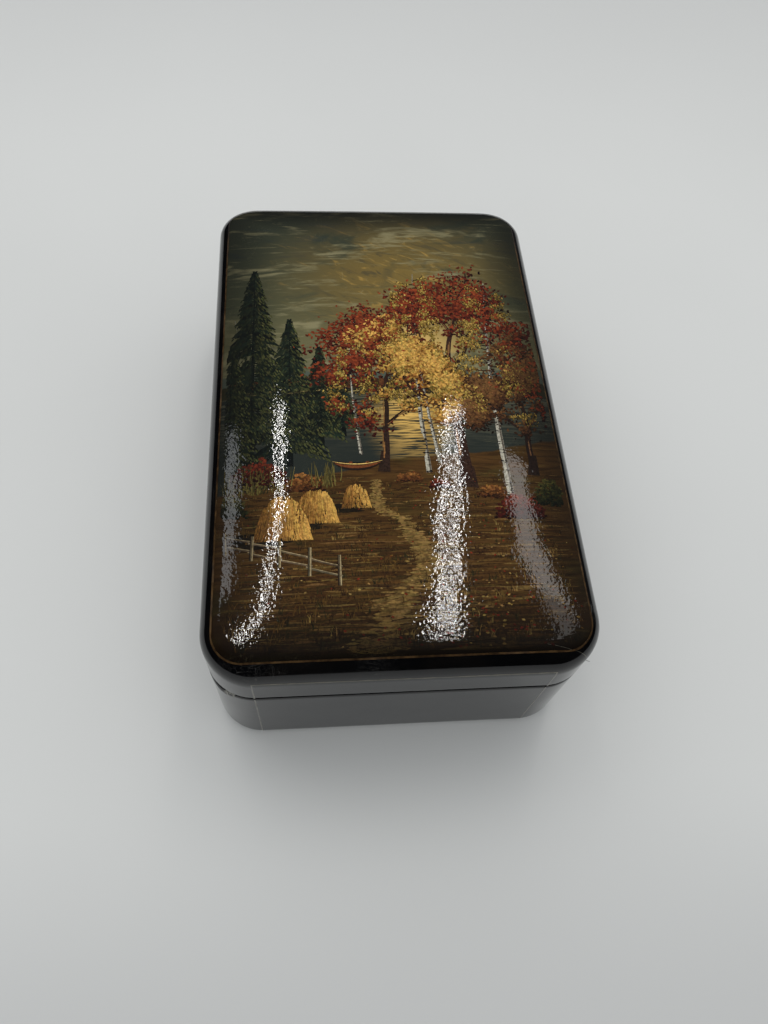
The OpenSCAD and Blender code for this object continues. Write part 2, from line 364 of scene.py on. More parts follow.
def brassSockets():
    point = objectPoint()
    tarnish = remap(noiseOf(point, 0.5, 5.0, 0.65), 0.35, 0.65)
    color = mixColor(tarnish, brassFinish["bright"], brassFinish["tarnish"])
    # black lacquer still lies on most of the barrel
    left = remap(noiseOf(point, 0.28, 6.0, 0.7, 0.6), 0.42, 0.5)
    drawn = noiseOf(scaled(point, (6, 0.5, 6)), 0.8, 3.0)
    return {
        "Base Color": mixColor(left, color, brassFinish["lacquer"]),
        "Metallic": less(1.0, left), "Roughness": timesPlus(tarnish, 0.25, 0.25),
        "Normal": bumpOf(drawn, 0.4, 0.00002),
    }


pearlFinish = {
    "rose": sRGB(224, 206, 196),
    "green": sRGB(190, 214, 200),
    "gold": sRGB(226, 208, 160),
}


def pearlSockets():
    swirl = noiseOf(scaled(objectPoint(), (0.3, 0.9, 0.3)), 0.3, 4.0, 0.6, 2.0)
    places = zip((0.3, 0.5, 0.7), (pearlFinish[key] for key in ("rose", "green", "gold")))
    return {
        "Base Color": ramp(swirl, list(places)), "Roughness": remap(swirl, 0.2, 0.8, 0.12, 0.3),
        "Normal": bumpOf(swirl, 0.3, 0.00003), "Coat Weight": 0.5,
    }


blackFinish = newMaterial("blackLacquer", blackSockets)
redFinish = newMaterial("redLacquer", redSockets)
goldFinish = newMaterial("goldPaint", goldSockets)
fadedFinish = newMaterial("fadedGold", lambda: goldSockets(fadedGold))
hingeFinish = newMaterial("hingeBrass", brassSockets)
shellFinish = newMaterial("motherOfPearl", pearlSockets)
print("plain finishes made")

# The painted ground: an evening sky over a lake, a far shore and a meadow. The places are
# in millimetres from the lid's middle.
landscape = {
    "skyTop": sRGB(46, 50, 40),
    "skySlate": sRGB(72, 74, 54),
    "skyPale": sRGB(110, 104, 72),
    "cloudLight": sRGB(140, 132, 98),
    "cloudDark": sRGB(44, 50, 46),
    "gold": sRGB(120, 98, 50),
    # painted sheen on the lit folds of the leaf under the paint
    "foilSheen": sRGB(176, 140, 70),
    "sun": sRGB(232, 190, 108),
    "hills": sRGB(76, 82, 70),
    "forest": sRGB(46, 44, 28),
    "water": sRGB(84, 82, 66),
    "waterDark": sRGB(38, 42, 38),
    "waterLight": sRGB(214, 172, 92),
    "meadow": sRGB(76, 52, 25),
    "meadowDark": sRGB(42, 27, 13),
    "meadowGreen": sRGB(58, 50, 24),
    "edge": sRGB(9, 8, 7),
    "sunPlace": (6.0, 13.0),
    "sunReach": (26, 20),
    "goldPlace": (8.0, 44.0),
    "goldReach": (52, 40),
    # where the picture begins to sink into the black, and where it has sunk
    "sinkLeft": (-26, -47),
    "sinkRight": (29, 47),
    "sinkTop": (62, 79),
    "sinkFoot": (-58, -79),
    "nearShore": -24.0,
}


def spot(point, place, reach):
    # 1 at a place, falling to 0 at its reach along x and y
    away = vectorCalc("SUBTRACT", point, (place[0], place[1], 0))
    away = scaled(away, (1 / reach[0], 1 / reach[1], 0))
    return remap(vectorCalc("LENGTH", away), 0.0, 1.0, 1.0, 0.0)


def stretched(point, wide, high, shift=0.0):
    moved = vectorCalc("ADD", point, (shift, shift * 0.7, 0))
    return scaled(moved, (1 / wide, 1 / high, 0))


def brushed(point, wide, high, shift=0.0, detail=3.0, roughness=0.5, distortion=0.0):
    # noise drawn out as brushwork is, as wide and high as given
    return noiseOf(stretched(point, wide, high, shift), 1.0, detail, roughness, distortion)


def glaze(color, mask, strength, paint):
    return mixColor(times(mask, strength), color, landscape[paint])


def paintSky(point, up):
    color = ramp(remap(up, 0, 80), (
        (0.0, landscape["skyPale"]), (0.35, landscape["skySlate"]), (1.0, landscape["skyTop"])))
    broad, thin = brushed(point, 30, 8, 0, 6.0, 0.6, 0.7), brushed(point, 13, 1.9, 40, 5.0, 0.62, 0.9)
    mass = timesPlus(thin, 0.55, broad)
    color = glaze(color, remap(mass, 0.72, 0.55), 0.75, "cloudDark")
    golden = spot(point, landscape["goldPlace"], landscape["goldReach"])
    golden = times(golden, remap(brushed(point, 24, 12, 11, 4.0, 0.6, 0.8), 0.28, 0.5))
    color = glaze(color, golden, 0.85, "gold")
    # crumpled leaf and shell under the paint, with a painted sheen: folds painted lighter where they catch
    # the light, folds painted darker where they turn from it, and fine creases painted light on the lit folds
    turned = addNode("VectorRotate", {"Vector": point, "Angle": 0.45}, rotation_type="Z_AXIS").outputs[0]
    fold = brushed(turned, 9, 3.2, 3, 3.0, 0.55, 1.1)
    color = glaze(color, times(golden, remap(fold, 0.56, 0.74)), 0.75, "foilSheen")
    color = glaze(color, times(golden, remap(fold, 0.46, 0.3)), 0.6, "cloudDark")
    warp = scaled(noiseColor(turned, 0.12), (9, 6, 0))
    folded = stretched(vectorCalc("ADD", turned, warp), 9, 5, 3)
    creases = addNode("TexVoronoi", {"Vector": folded, "Scale": 1.0}, feature="DISTANCE_TO_EDGE")
    crease = times(remap(creases.outputs["Distance"], 0.0, 0.03, 1.0, 0.0), golden)
    color = glaze(color, times(crease, remap(fold, 0.5, 0.7)), 0.5, "cloudLight")
    color = glaze(color, remap(mass, 0.8, 0.98), 0.65, "cloudLight")
    streak = remap(brushed(point, 20, 0.9, 70, 3.0, 0.6, 0.6), 0.62, 0.72)
    color = glaze(color, streak, 0.35, "cloudLight")
    color = glaze(color, spot(point, landscape["sunPlace"], landscape["sunReach"]), 0.85, "sun")
    # a bank of heaped clouds above the far shore
    crest = timesPlus(brushed(point, 15, 60, 23, 5.0, 0.6), 30, -1)
    puff = remap(brushed(point, 7, 3.6, 5, 5.0, 0.6, 0.8), 0.35, 0.7)
    cloud = mixColor(puff, landscape["skySlate"], landscape["cloudLight"])
    return mixColor(times(remap(less(crest, up), -0.5, 1.2), 0.8), color, cloud)


def paintLand(color, point, across, up):
    # hills and forest of the far shore, then water, then the meadow in front
    ridge = timesPlus(brushed(point, 26, 90, 0, 2.0), 12, 1)
    color = mixColor(remap(less(ridge, up), -0.4, 0.6), color, landscape["hills"])
    forestTop = timesPlus(brushed(point, 3.2, 40, 9, 4.0, 0.7), 7, -0.4)
    color = mixColor(remap(less(forestTop, up), -0.2, 0.3), color, landscape["forest"])
    shore = remap(timesPlus(brushed(point, 16, 60, 13), 3.0, up), 0.2, -0.3)
    ripple = brushed(point, 9, 0.55, 31, 3.0, 0.6, 0.4)
    water = mixColor(remap(up, -24, -2), landscape["waterDark"], landscape["water"])
    water = mixColor(remap(ripple, 0.62, 0.42), water, landscape["waterDark"])
    path = times(spot(point, (landscape["sunPlace"][0], -9), (15, 22)), remap(ripple, 0.4, 0.56))
    water = mixColor(path, water, landscape["waterLight"])
    color = mixColor(shore, color, water)
    bankLine = timesPlus(brushed(point, 34, 30, 52, 3.0, 0.55), 14, landscape["nearShore"] - 7)
    bank = remap(less(timesPlus(across, 0.16, bankLine), up), -0.3, 0.5)
    brush = brushed(point, 12, 1.1, 83, 5.0, 0.65, 0.7)
    meadow = ramp(remap(up, -80, -22), (
        (0.0, landscape["meadowDark"]), (0.4, landscape["meadow"]), (1.0, landscape["meadow"])))
    green = remap(brushed(point, 26, 12, 91, 3.0, 0.5, 0.5), 0.52, 0.66)
    meadow = glaze(meadow, green, 0.7, "meadowGreen")
    meadow = glaze(meadow, remap(brush, 0.56, 0.36), 0.7, "meadowDark")
    meadow = glaze(meadow, remap(brush, 0.58, 0.72), 0.3, "gold")
    return mixColor(bank, color, meadow)


def sinkEdges(color, across, up):
    # the picture sinks into the black at its sides, its top and, most of all, its foot
    side = most(remap(across, *landscape["sinkLeft"]), remap(across, *landscape["sinkRight"]))
    ends = most(remap(up, *landscape["sinkTop"]), remap(up, *landscape["sinkFoot"]))
    return glaze(color, most(times(side, 0.75), ends), 0.93, "edge")


def underLacquer(color):
    # the same clear lacquer lies over the ground and over the paint strokes
    return lacquered(color, 0.03, 0.8, 0.012, 1.52, 1.0)


def paintedSockets():
    point = objectPoint()
    across, up, _ = parts(point)
    color = paintLand(paintSky(point, up), point, across, up)
    color = sinkEdges(color, across, up)
    marks = useGroup(hairlines, {"Amount": 0.12})["Mask"]
    return underLacquer(mixColor(marks, color, landscape["cloudLight"]))


def dabSockets():
    # paint strokes carry their colour; a little streaking lies over it
    color = addNode("Attribute", attribute_name="paint").outputs["Color"]
    point = objectPoint()
    across, up, _ = parts(point)
    streak = remap(noiseOf(point, 1.3, 3.0, 0.6), 0.6, 0.35, 0.0, 0.45)
    return underLacquer(sinkEdges(mixColor(streak, color, landscape["edge"]), across, up))


paintedFinish = newMaterial("paintedLacquer", paintedSockets)
dabFinish = newMaterial("paintDabs", dabSockets)
print("painted finishes made")


# Shape of the box: the outline as marks, each a point and the way out from it

outline = {"cornerSteps": 16, "longSteps": 30, "shortSteps": 18, "support": 0.4}


def makeMarks(radius, insetX, insetY):
    reachX, reachY = box["halfWidth"] - insetX - radius, box["halfLength"] - insetY - radius
    corners = [Vector((reachX * x, reachY * y)) for x, y in ((1, 1), (-1, 1), (-1, -1), (1, -1))]
    marks = []
    for quarter, corner in enumerate(corners):
        following = corners[(quarter + 1) % 4]
        for step in range(outline["cornerSteps"] + 1):
            angle = math.radians(90 * (quarter + step / outline["cornerSteps"]))
            marks.append((corner, Vector((math.cos(angle), math.sin(angle)))))
        outward = marks[-1][1]
        steps = outline["shortSteps"] if quarter % 2 == 0 else outline["longSteps"]
        support = outline["support"] / (following - corner).length
        shares = [support] + [step / steps for step in range(1, steps)] + [1 - support]
        marks += [(corner.lerp(following, share), outward) for share in shares]
    return marks


marks = makeMarks(box["cornerRadius"], 0, 0)
pictureMarks = makeMarks(box["pictureRadius"], box["sideBorder"], box["border"])


def insetAt(x, y, radius=box["cornerRadius"], borderX=0, borderY=0):
    qx = abs(x) - box["halfWidth"] + borderX + radius
    qy = abs(y) - box["halfLength"] + borderY + radius
    return radius - min(max(qx, qy), 0) - math.hypot(max(qx, 0), max(qy, 0))


def shoulderFor(outX, outY):
    # the shoulder's radius, which passes from the long sides' to the short ends' in the corners
    share = outX * outX / ((outX * outX + outY * outY) or 1)
    return box["shoulderRadius"] - (box["shoulderRadius"] - box["sideShoulder"]) * share


def shoulderAt(x, y):
    radius = box["cornerRadius"]
    outX, outY = abs(x) - box["halfWidth"] + radius, abs(y) - box["halfLength"] + radius
    return shoulderFor(max(0, outX), max(0, outY))


def crownAt(x, y, halfWidth, halfLength):
    power = box["crownPower"]
    return (1 - min(1, abs(x) / halfWidth) ** power) * (1 - min(1, abs(y) / halfLength) ** power)


def topAt(x, y):
    radius = shoulderAt(x, y)
    left = radius - max(0, min(radius, insetAt(x, y)))
    rise = math.sqrt(max(0, radius * radius - left * left)) + box["shoulderRadius"] - radius
    return box["shoulder"] + rise + box["crownRise"] * crownAt(x, y, box["halfWidth"], box["halfLength"])


def normalAt(x, y):
    step = 0.02
    slopeX = (topAt(x + step, y) - topAt(x - step, y)) / (2 * step)
    slopeY = (topAt(x, y + step) - topAt(x, y - step)) / (2 * step)
    return Vector((-slopeX, -slopeY, 1)).normalized()


def ceilingAt(x, y):
    crown = crownAt(x, y, box["halfWidth"] - box["wall"], box["halfLength"] - box["wall"])
    return box["panel"] + box["ceilingRise"] * crown


def ringAt(inset, height, path=marks, radius=box["cornerRadius"]):
    # the outline drawn in by an inset; height is a number, or a function of x and y
    ring = []
    for start, outward in path:
        place = start + outward * (radius - inset)
        z = height(place.x, place.y) if callable(height) else height
        ring.append(Vector((place.x, place.y, z)))
    return ring


def pictureRing(inset, height):
    return ringAt(inset, height, pictureMarks, box["pictureRadius"])


def shrunk(ring, share, height):
    return [Vector((p.x * share, p.y * share, height(p.x * share, p.y * share))) for p in ring]


def arcOf(insetCentre, heightCentre, radius, start, end, steps):
    # points of a section's rounding, as inset and height; angles from straight outwards, up
    points = []
    for step in range(steps + 1):
        angle = math.radians(start + (end - start) * step / steps)
        points.append((insetCentre - radius * math.cos(angle), heightCentre + radius * math.sin(angle)))
    return points


def loftRings(bm, rings, capped=False):
    # a circle whose points move onto the first ring, extruded from ring to ring
    place = bm.verts.layers.int.get("place") or bm.verts.layers.int.new("place")
    made = bmesh.ops.create_circle(bm, segments=len(rings[0]), radius=1)
    edges = list({edge for vert in made["verts"] for edge in vert.link_edges})
    for index, vert in enumerate(made["verts"]):
        vert[place] = index
        vert.co = rings[0][index]
    ends = [edges]
    for ring in rings[1:]:
        geom = bmesh.ops.extrude_edge_only(bm, edges=edges)["geom"]
        newVerts = {item for item in geom if isinstance(item, bmesh.types.BMVert)}
        for vert in newVerts:
            vert.co = ring[vert[place]]
        edges = [item for item in geom if isinstance(item, bmesh.types.BMEdge)]
        edges = [edge for edge in edges if set(edge.verts) <= newVerts]
    ends.append(edges)
    if capped:
        for loop in ends:
            bmesh.ops.edgeloop_fill(bm, edges=loop)
    else:
        bmesh.ops.remove_doubles(bm, verts=bm.verts, dist=0.0001)


def lathed(section, capped=False):
    bm = bmesh.new()
    loftRings(bm, [ringAt(inset, height) for inset, height in section], capped)
    return bm


def newObject(name, bm, size=mm):
    bmesh.ops.scale(bm, vec=(size, size, size), verts=bm.verts)
    mesh = bpy.data.meshes.new(name)
    bm.to_mesh(mesh)
    bm.free()
    made = bpy.data.objects.new(name, mesh)
    scene.collection.objects.link(made)
    return made


def finishPiece(name, bm, body, finishes, stands=(), sharp=35.0):
    bmesh.ops.recalc_face_normals(bm, faces=bm.faces)
    limit = math.radians(sharp)
    for face in bm.faces:
        face.smooth = True
    for edge in bm.edges:
        edge.smooth = not (len(edge.link_faces) == 2 and edge.calc_face_angle(0) > limit)
    piece = newObject(name, bm)
    for finish in finishes:
        piece.data.materials.append(finish)
    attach(piece, body)
    if stands:
        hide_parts(*stands)
    return piece


def followCrown(piece):
    # shading that follows the crown itself, so that reflections run on without facets
    normals = []
    for vert in piece.data.vertices:
        if vert.normal.z > 0.05:
            normals.append(normalAt(vert.co.x / mm, vert.co.y / mm))
        else:
            normals.append(vert.normal)
    piece.data.normals_split_custom_set_from_vertices(normals)


# Hinge sizes, in millimetres and degrees
pinLow, pinHigh = boxOf("hinge_pin")
hinge = {
    "x": (pinLow.x + pinHigh.x) / 2,
    "z": (pinLow.z + pinHigh.z) / 2,
    "length": pinHigh.y - pinLow.y,
    "knuckles": 7,
    "gap": 0.2,
    "radius": 1.4,
    "bore": 0.6,
    "bedRadius": 1.6,
    "leaf": 0.6,
    "baseBevel": 50,
    "lidBevel": 42,
    "softEdge": 0.3,
    "facets": 40,
    "knuckleEdge": 0.15,
    "clear": 0.05,
    "neckSunk": 0.2,
    "nails": 4,
    "nailFlat": 0.22,
    "nailSunk": 0.13,
}


def cutBevel(bm, up, slope):
    # takes off the outer back edge in one plane through the hinge axis, and caps it
    angle = math.radians(slope)
    outward = Vector((-math.sin(angle), 0, -up * math.cos(angle)))
    geom = bm.verts[:] + bm.edges[:] + bm.faces[:]
    bmesh.ops.bisect_plane(
        bm, geom=geom, plane_co=(hinge["x"], 0, hinge["z"]), plane_no=outward, clear_outer=True,
        dist=0.0001)
    rim = [edge for edge in bm.edges if edge.is_boundary]
    bmesh.ops.holes_fill(bm, edges=rim, sides=0)
    bmesh.ops.bevel(
        bm, geom=rim, offset=hinge["softEdge"], segments=2, affect="EDGES", profile=0.5, material=-1,
        clamp_overlap=True)


def cutBed(piece):
    # the half round bed that the barrel lies in
    bm = bmesh.new()
    turned = Matrix.Translation((hinge["x"], 0, hinge["z"])) @ Matrix.Rotation(math.radians(90), 4, "X")
    bmesh.ops.create_cone(
        bm, cap_ends=True, segments=48, radius1=hinge["bedRadius"], radius2=hinge["bedRadius"],
        depth=hinge["length"] + 2 * hinge["gap"], matrix=turned)
    cutter = newObject("bedCutter", bm)
    cut = piece.modifiers.new("bed", "BOOLEAN")
    cut.operation = "DIFFERENCE"
    cut.solver = "MANIFOLD"
    cut.object = cutter
    shape = bpy.data.meshes.new_from_object(piece.evaluated_get(bpy.context.evaluated_depsgraph_get()))
    piece.modifiers.clear()
    piece.data = shape
    bpy.data.objects.remove(cutter)


def redInside(bm, reach):
    # faces that look into the box take the second finish
    for face in bm.faces:
        middle = face.calc_center_median()
        if insetAt(middle.x, middle.y) > reach:
            face.material_index = 1


baseWall = {
    "foot": 4.4,
    "rimRound": 1.2,
    "dip": (-47.2, -77.2),
    "dipReach": 7.5,
    "dipDepth": 3.6,
    "dipZone": 2.5,
}


def makeBaseWall():
    wall, rim, foot, rimRound = box["wall"], box["rim"], baseWall["foot"], baseWall["rimRound"]
    support = outline["support"]
    section = [(wall, 0), (foot + support, 0)]
    section += arcOf(foot, foot, foot, -90, 0, 8)
    section += [(0, foot + support), (0, rim / 2), (0, rim - rimRound - support)]
    section += arcOf(rimRound, rim - rimRound, rimRound, 0, 90, 4)
    section += [(rimRound + support, rim), (wall, rim), (wall, 0)]
    bm = lathed(section)
    dipZone = baseWall["dipZone"]
    for vert in bm.verts:
        # the rim is worn down at one near corner
        if vert.co.z > rim - dipZone and insetAt(vert.co.x, vert.co.y) < dipZone:
            away = (vert.co.xy - Vector(baseWall["dip"])).length / baseWall["dipReach"]
            vert.co.z -= baseWall["dipDepth"] * max(0, 1 - away * away) ** 2
    cutBevel(bm, -1, hinge["baseBevel"])
    piece = finishPiece("baseWall", bm, "base", [blackFinish], ["base_wall"])
    cutBed(piece)


bottomBoard = {"edge": 0.2}


def makeBottom():
    low, high = boxOf("base_bottom")
    wall, edge = box["wall"] + box["glue"], bottomBoard["edge"]
    section = [(wall + edge, low.z), (wall, low.z + edge), (wall, high.z)]
    bm = lathed(section, capped=True)
    for face in bm.faces:
        if face.calc_center_median().z > high.z - edge:
            face.material_index = 1
    finishPiece("bottomBoard", bm, "base", [blackFinish, redFinish], ["base_bottom"])


lining = {"thick": 1.4, "lipGap": 0.3}


def makeLining():
    low, high = boxOf("base_lining")
    outer = box["wall"] + box["glue"]
    lip = box["wall"] + lining["lipGap"]
    inner = outer + lining["thick"]
    edge = (inner - lip) / 2.2
    step = box["rim"] - lining["lipGap"]
    section = [(inner, low.z), (outer, low.z), (outer, step), (lip, step), (lip, high.z - edge)]
    section += arcOf(lip + edge, high.z - edge, edge, 0, 90, 4)[1:]
    section += [(inner - edge, high.z)]
    section += [(2 * (inner - edge) - inset, height) for inset, height in arcOf(
        inner - edge, high.z - edge, edge, 90, 0, 4)[1:]]
    section += [(inner, low.z)]
    bm = lathed(section)
    finishPiece("lining", bm, "base", [redFinish], ["base_lining"])


lidWall = {"rimRound": 1.2}


def makeLidWall():
    wall, low, high, rimRound = box["wall"], box["lidRim"], box["panel"], lidWall["rimRound"]
    support = outline["support"]
    section = [(wall, low), (rimRound + support, low)]
    section += arcOf(rimRound, low + rimRound, rimRound, -90, 0, 4)
    section += [(0, low + rimRound + support), (0, high), (wall, high), (wall, low)]
    bm = lathed(section)
    cutBevel(bm, 1, hinge["lidBevel"])
    redInside(bm, wall - 0.01)
    piece = finishPiece("lidWall", bm, "lid", [blackFinish, redFinish], ["lid_wall"])
    cutBed(piece)


lidTop = {"shoulderSteps": 20, "ceilingRings": 14, "pocketRings": 5}


def makeLidTop():
    wall = box["wall"]
    pocket = box["paint"] + box["glue"]
    inside, frameRing = ringAt(wall, ceilingAt), pictureRing(0, topAt)
    apart = [box["cornerRadius"] - box["pictureRadius"] - box[key] for key in ("sideBorder", "border")]
    nearest = min(box["sideBorder"], box["cornerRadius"] - box["pictureRadius"] - math.hypot(*apart))
    count = lidTop["ceilingRings"]
    rings = [shrunk(inside, step / count, ceilingAt) for step in range(1, count)]
    rings += [ringAt(wall, box["panel"]), ringAt(0, box["panel"]), ringAt(0, box["shoulder"] - 0.3)]
    steps = lidTop["shoulderSteps"]
    for step in range(steps + 1):
        inset = box["shoulderRadius"] * (1 - math.cos(math.radians(90 * step / steps)))
        if inset < nearest - 0.1:
            rings.append(ringAt(inset, topAt))
    rings += [frameRing]
    for step in range(lidTop["pocketRings"], 0, -1):
        rings.append(shrunk(frameRing, step / lidTop["pocketRings"], lambda x, y: topAt(x, y) - pocket))
    bm = bmesh.new()
    loftRings(bm, rings, capped=True)
    for face in bm.faces:
        middle = face.calc_center_median()
        if insetAt(middle.x, middle.y) > wall and middle.z < ceilingAt(middle.x, middle.y) + 0.5:
            face.material_index = 1
    finishPiece("lidTop", bm, "lid", [blackFinish, redFinish], ["lid_top"])


pictureLayer = {"rings": 34, "edgeRings": (0.998, 0.996, 0.993, 0.99, 0.985, 0.98), "underRings": 6}


def makePictureLayer():
    edge = pictureRing(0.02, topAt)
    inner = pictureLayer["edgeRings"][-1]
    shares = [inner * step / pictureLayer["rings"] for step in range(1, pictureLayer["rings"] + 1)]
    shares += list(reversed(pictureLayer["edgeRings"][:-1])) + [1.0]
    rings = [shrunk(edge, share, topAt) for share in shares]
    count = pictureLayer["underRings"]
    for step in range(count, 0, -1):
        rings.append(shrunk(edge, step / count, lambda x, y: topAt(x, y) - box["paint"]))
    bm = bmesh.new()
    loftRings(bm, rings, capped=True)
    finish = [paintedFinish]
    followCrown(finishPiece("pictureLayer", bm, "lid", finish, ["picture_layer"]))


makeBaseWall()
makeBottom()
makeLining()
makeLidWall()
makeLidTop()
makePictureLayer()
print("box and lid made")


# Hinge

def barrelRing(radius, y):
    angles = [math.radians(360 * step / hinge["facets"]) for step in range(hinge["facets"])]
    x, z = hinge["x"], hinge["z"]
    return [Vector((x + radius * math.cos(angle), y, z + radius * math.sin(angle))) for angle in angles]


def addBlock(bm, size, middle):
    made = bmesh.ops.create_cube(bm, size=1)["verts"]
    bmesh.ops.scale(bm, vec=size, verts=made)
    bmesh.ops.translate(bm, vec=middle, verts=made)


def makeLeaf(name, node, body, up, first):
    low, high = boxOf(node)
    count, gap, edge = hinge["knuckles"], hinge["gap"], hinge["knuckleEdge"]
    bore, radius = hinge["bore"], hinge["radius"]
    long = (hinge["length"] - (count - 1) * gap) / count
    starts = [-hinge["length"] / 2 + index * (long + gap) for index in range(first, count, 2)]
    bm = bmesh.new()
    for start in starts:
        end = start + long
        section = [
            (bore, start), (radius - edge, start), (radius, start + edge),
            (radius, end - edge), (radius - edge, end), (bore, end), (bore, start),
        ]
        loftRings(bm, [barrelRing(reach, y) for reach, y in section])
    # the plate, whose top stays clear of the other leaf's knuckles
    clear = hinge["bedRadius"] + hinge["clear"]
    far = high.z if up > 0 else low.z
    near = hinge["z"] + up * clear
    addBlock(bm, (hinge["leaf"], hinge["length"], abs(far - near)), (hinge["x"], 0, (far + near) / 2))
    # necks that join the knuckles to it
    tall = clear - radius + 1.5 * hinge["neckSunk"]
    height = hinge["z"] + up * (radius - hinge["neckSunk"] + tall / 2)
    for start in starts:
        addBlock(bm, (hinge["leaf"], long, tall), (hinge["x"], start + long / 2, height))
    finishPiece(name, bm, body, [hingeFinish], [node])


def makeLidNails():
    low, high = boxOf("lid_hinge_nails")
    bm = bmesh.new()
    radius = (high.z - low.z) / 2
    z = (high.z + low.z) / 2
    first, last = low.y + radius, high.y - radius
    flat = Matrix.Rotation(math.radians(90), 4, "Y") @ Matrix.Diagonal((1, 1, hinge["nailFlat"], 1))
    for index in range(hinge["nails"]):
        y = first + (last - first) * index / (hinge["nails"] - 1)
        place = Matrix.Translation((high.x - hinge["nailSunk"], y, z))
        bmesh.ops.create_uvsphere(bm, u_segments=20, v_segments=10, radius=radius, matrix=place @ flat)
    finishPiece("lidNailHeads", bm, "lid", [hingeFinish], ["lid_hinge_nails"])


makeLeaf("baseLeaf", "base_hinge_leaf", "base", -1, 0)
makeLeaf("lidLeaf", "lid_hinge_leaf", "lid", 1, 1)
makeLidNails()
shown = {"hinge_pin": hingeFinish, "base_hinge_nails": hingeFinish, "pearl_inlay": shellFinish}
for node, finish in shown.items():
    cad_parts[node].data.materials.clear()
    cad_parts[node].data.materials.append(finish)
print("hinge made")

# Gold lines: one round the picture, and a frame on each side that runs on across the seam
goldLines = {
    "width": 0.42,
    "proud": 0.025,
    "sunk": 0.04,
    "wobble": 0.1,
    "fromEnds": 12.6,
    "top": 46.1,
    "bottom": 2.4,
    "seamGap": 0.55,
    "bevelGap": 3.9,
    "sideWidth": 0.36,
}


def wander(value, seed):
    # slow drift of a hand, -1 to 1
    return noise.noise(Vector((value, seed, 0.0)))


def makePictureLine():
    half = goldLines["width"] / 2

    def lineRing(offset, lift):
        ring = []
        distance = 0.0
        last = None
        for start, outward in pictureMarks:
            at = start + outward * box["pictureRadius"]
            distance += (at - last).length if last else 0.0
            last = at
            drift = goldLines["wobble"] * wander(distance * 0.09, 3.0)
            wide = offset * (1 + 0.25 * wander(distance * 0.4, 9.0))
            place = start + outward * (box["pictureRadius"] - drift - wide)
            upward = normalAt(place.x, place.y)
            ring.append(Vector((place.x, place.y, topAt(place.x, place.y))) + upward * lift)
        return ring

    rings = [
        lineRing(-half, -goldLines["sunk"]), lineRing(-half, goldLines["proud"]),
        lineRing(half, goldLines["proud"]), lineRing(half, -goldLines["sunk"]),
        lineRing(-half, -goldLines["sunk"]),
    ]
    bm = bmesh.new()
    loftRings(bm, rings)
    finishPiece("pictureLine", bm, "lid", [goldFinish], sharp=60)


def sidePoint(side, u, z, lift):
    # a point on a side: u runs along it from its middle and on into the corners
    radius = box["cornerRadius"]
    halfSide, halfAway = box["halfWidth"], box["halfLength"]
    if side % 2:
        halfSide, halfAway = halfAway, halfSide
    straight = halfSide - radius
    turn = max(0, abs(u) - straight) / radius
    sign = 1 if u >= 0 else -1
    outX, outY = sign * math.sin(turn), math.cos(turn)
    across = (outX, outY) if side % 2 == 0 else (outY, outX)
    foot, shoulderRadius = baseWall["foot"], shoulderFor(*across)
    shoulder = box["shoulder"] + box["shoulderRadius"] - shoulderRadius
    tilt = 0.0
    inset = 0.0
    if z < foot:
        tilt = -math.asin((foot - z) / foot)
        inset = foot * (1 - math.cos(tilt))
    elif z > shoulder:
        tilt = math.asin((z - shoulder) / shoulderRadius)
        inset = shoulderRadius * (1 - math.cos(tilt))
    out = radius - inset + lift * math.cos(tilt)
    x = sign * min(abs(u), straight) + outX * out
    y = halfAway - radius + outY * out
    place = Vector((x, y, z + lift * math.sin(tilt)))
    return Matrix.Rotation(math.radians(180 + 90 * side), 4, "Z") @ place


def sideStrip(bm, side, start, end, seed):
    # one painted line on a side, from (u, z) to (u, z), as a thin closed strip
    length = math.hypot(end[0] - start[0], end[1] - start[1])
    steps = max(4, int(length / 1.5))
    along = ((end[0] - start[0]) / length, (end[1] - start[1]) / length)
    across = (-along[1], along[0])
    made = bmesh.ops.create_grid(bm, x_segments=steps, y_segments=1, size=1)["verts"]
    for vert in made:
        run = (vert.co.x + 1) / 2 * length
        half = goldLines["sideWidth"] / 2 * (1 + 0.3 * wander(run * 0.5, seed))
        drift = goldLines["wobble"] * wander(run * 0.06, seed + 5)
        off = drift + half * (1 if vert.co.y > 0 else -1)
        u = start[0] + along[0] * run + across[0] * off
        z = start[1] + along[1] * run + across[1] * off
        vert.co = sidePoint(side, u, z, goldLines["proud"])


def makeSideLines():
    base, lid = bmesh.new(), bmesh.new()
    for side in range(4):
        reach = (box["halfWidth"] if side % 2 == 0 else box["halfLength"]) - goldLines["fromEnds"]
        seed = 11.0 + 7 * side
        lower = box["rim"] - goldLines["seamGap"]
        upper = box["lidRim"] + goldLines["seamGap"]
        if side == 3:
            # the hinge's side, where the lines end at the bevels
            lower = hinge["z"] - goldLines["bevelGap"] * math.tan(math.radians(hinge["baseBevel"]))
            upper = hinge["z"] + goldLines["bevelGap"] * math.tan(math.radians(hinge["lidBevel"]))
        sideStrip(lid, side, (-reach, goldLines["top"]), (reach, goldLines["top"]), seed)
        sideStrip(base, side, (-reach, goldLines["bottom"]), (reach, goldLines["bottom"]), seed + 1)
        for way in (-1, 1):
            sideStrip(lid, side, (way * reach, goldLines["top"]), (way * reach, upper), seed + 2 + way)
            sideStrip(base, side, (way * reach, lower), (way * reach, goldLines["bottom"]), seed + 2 + way)
    for name, bm, body in (("baseSideLines", base, "base"), ("lidSideLines", lid, "lid")):
        bmesh.ops.recalc_face_normals(bm, faces=bm.faces)
        bmesh.ops.solidify(bm, geom=bm.faces[:], thickness=goldLines["proud"] + goldLines["sunk"])
        finishPiece(name, bm, body, [fadedFinish], sharp=60)


makePictureLine()
makeSideLines()
print("gold lines made")

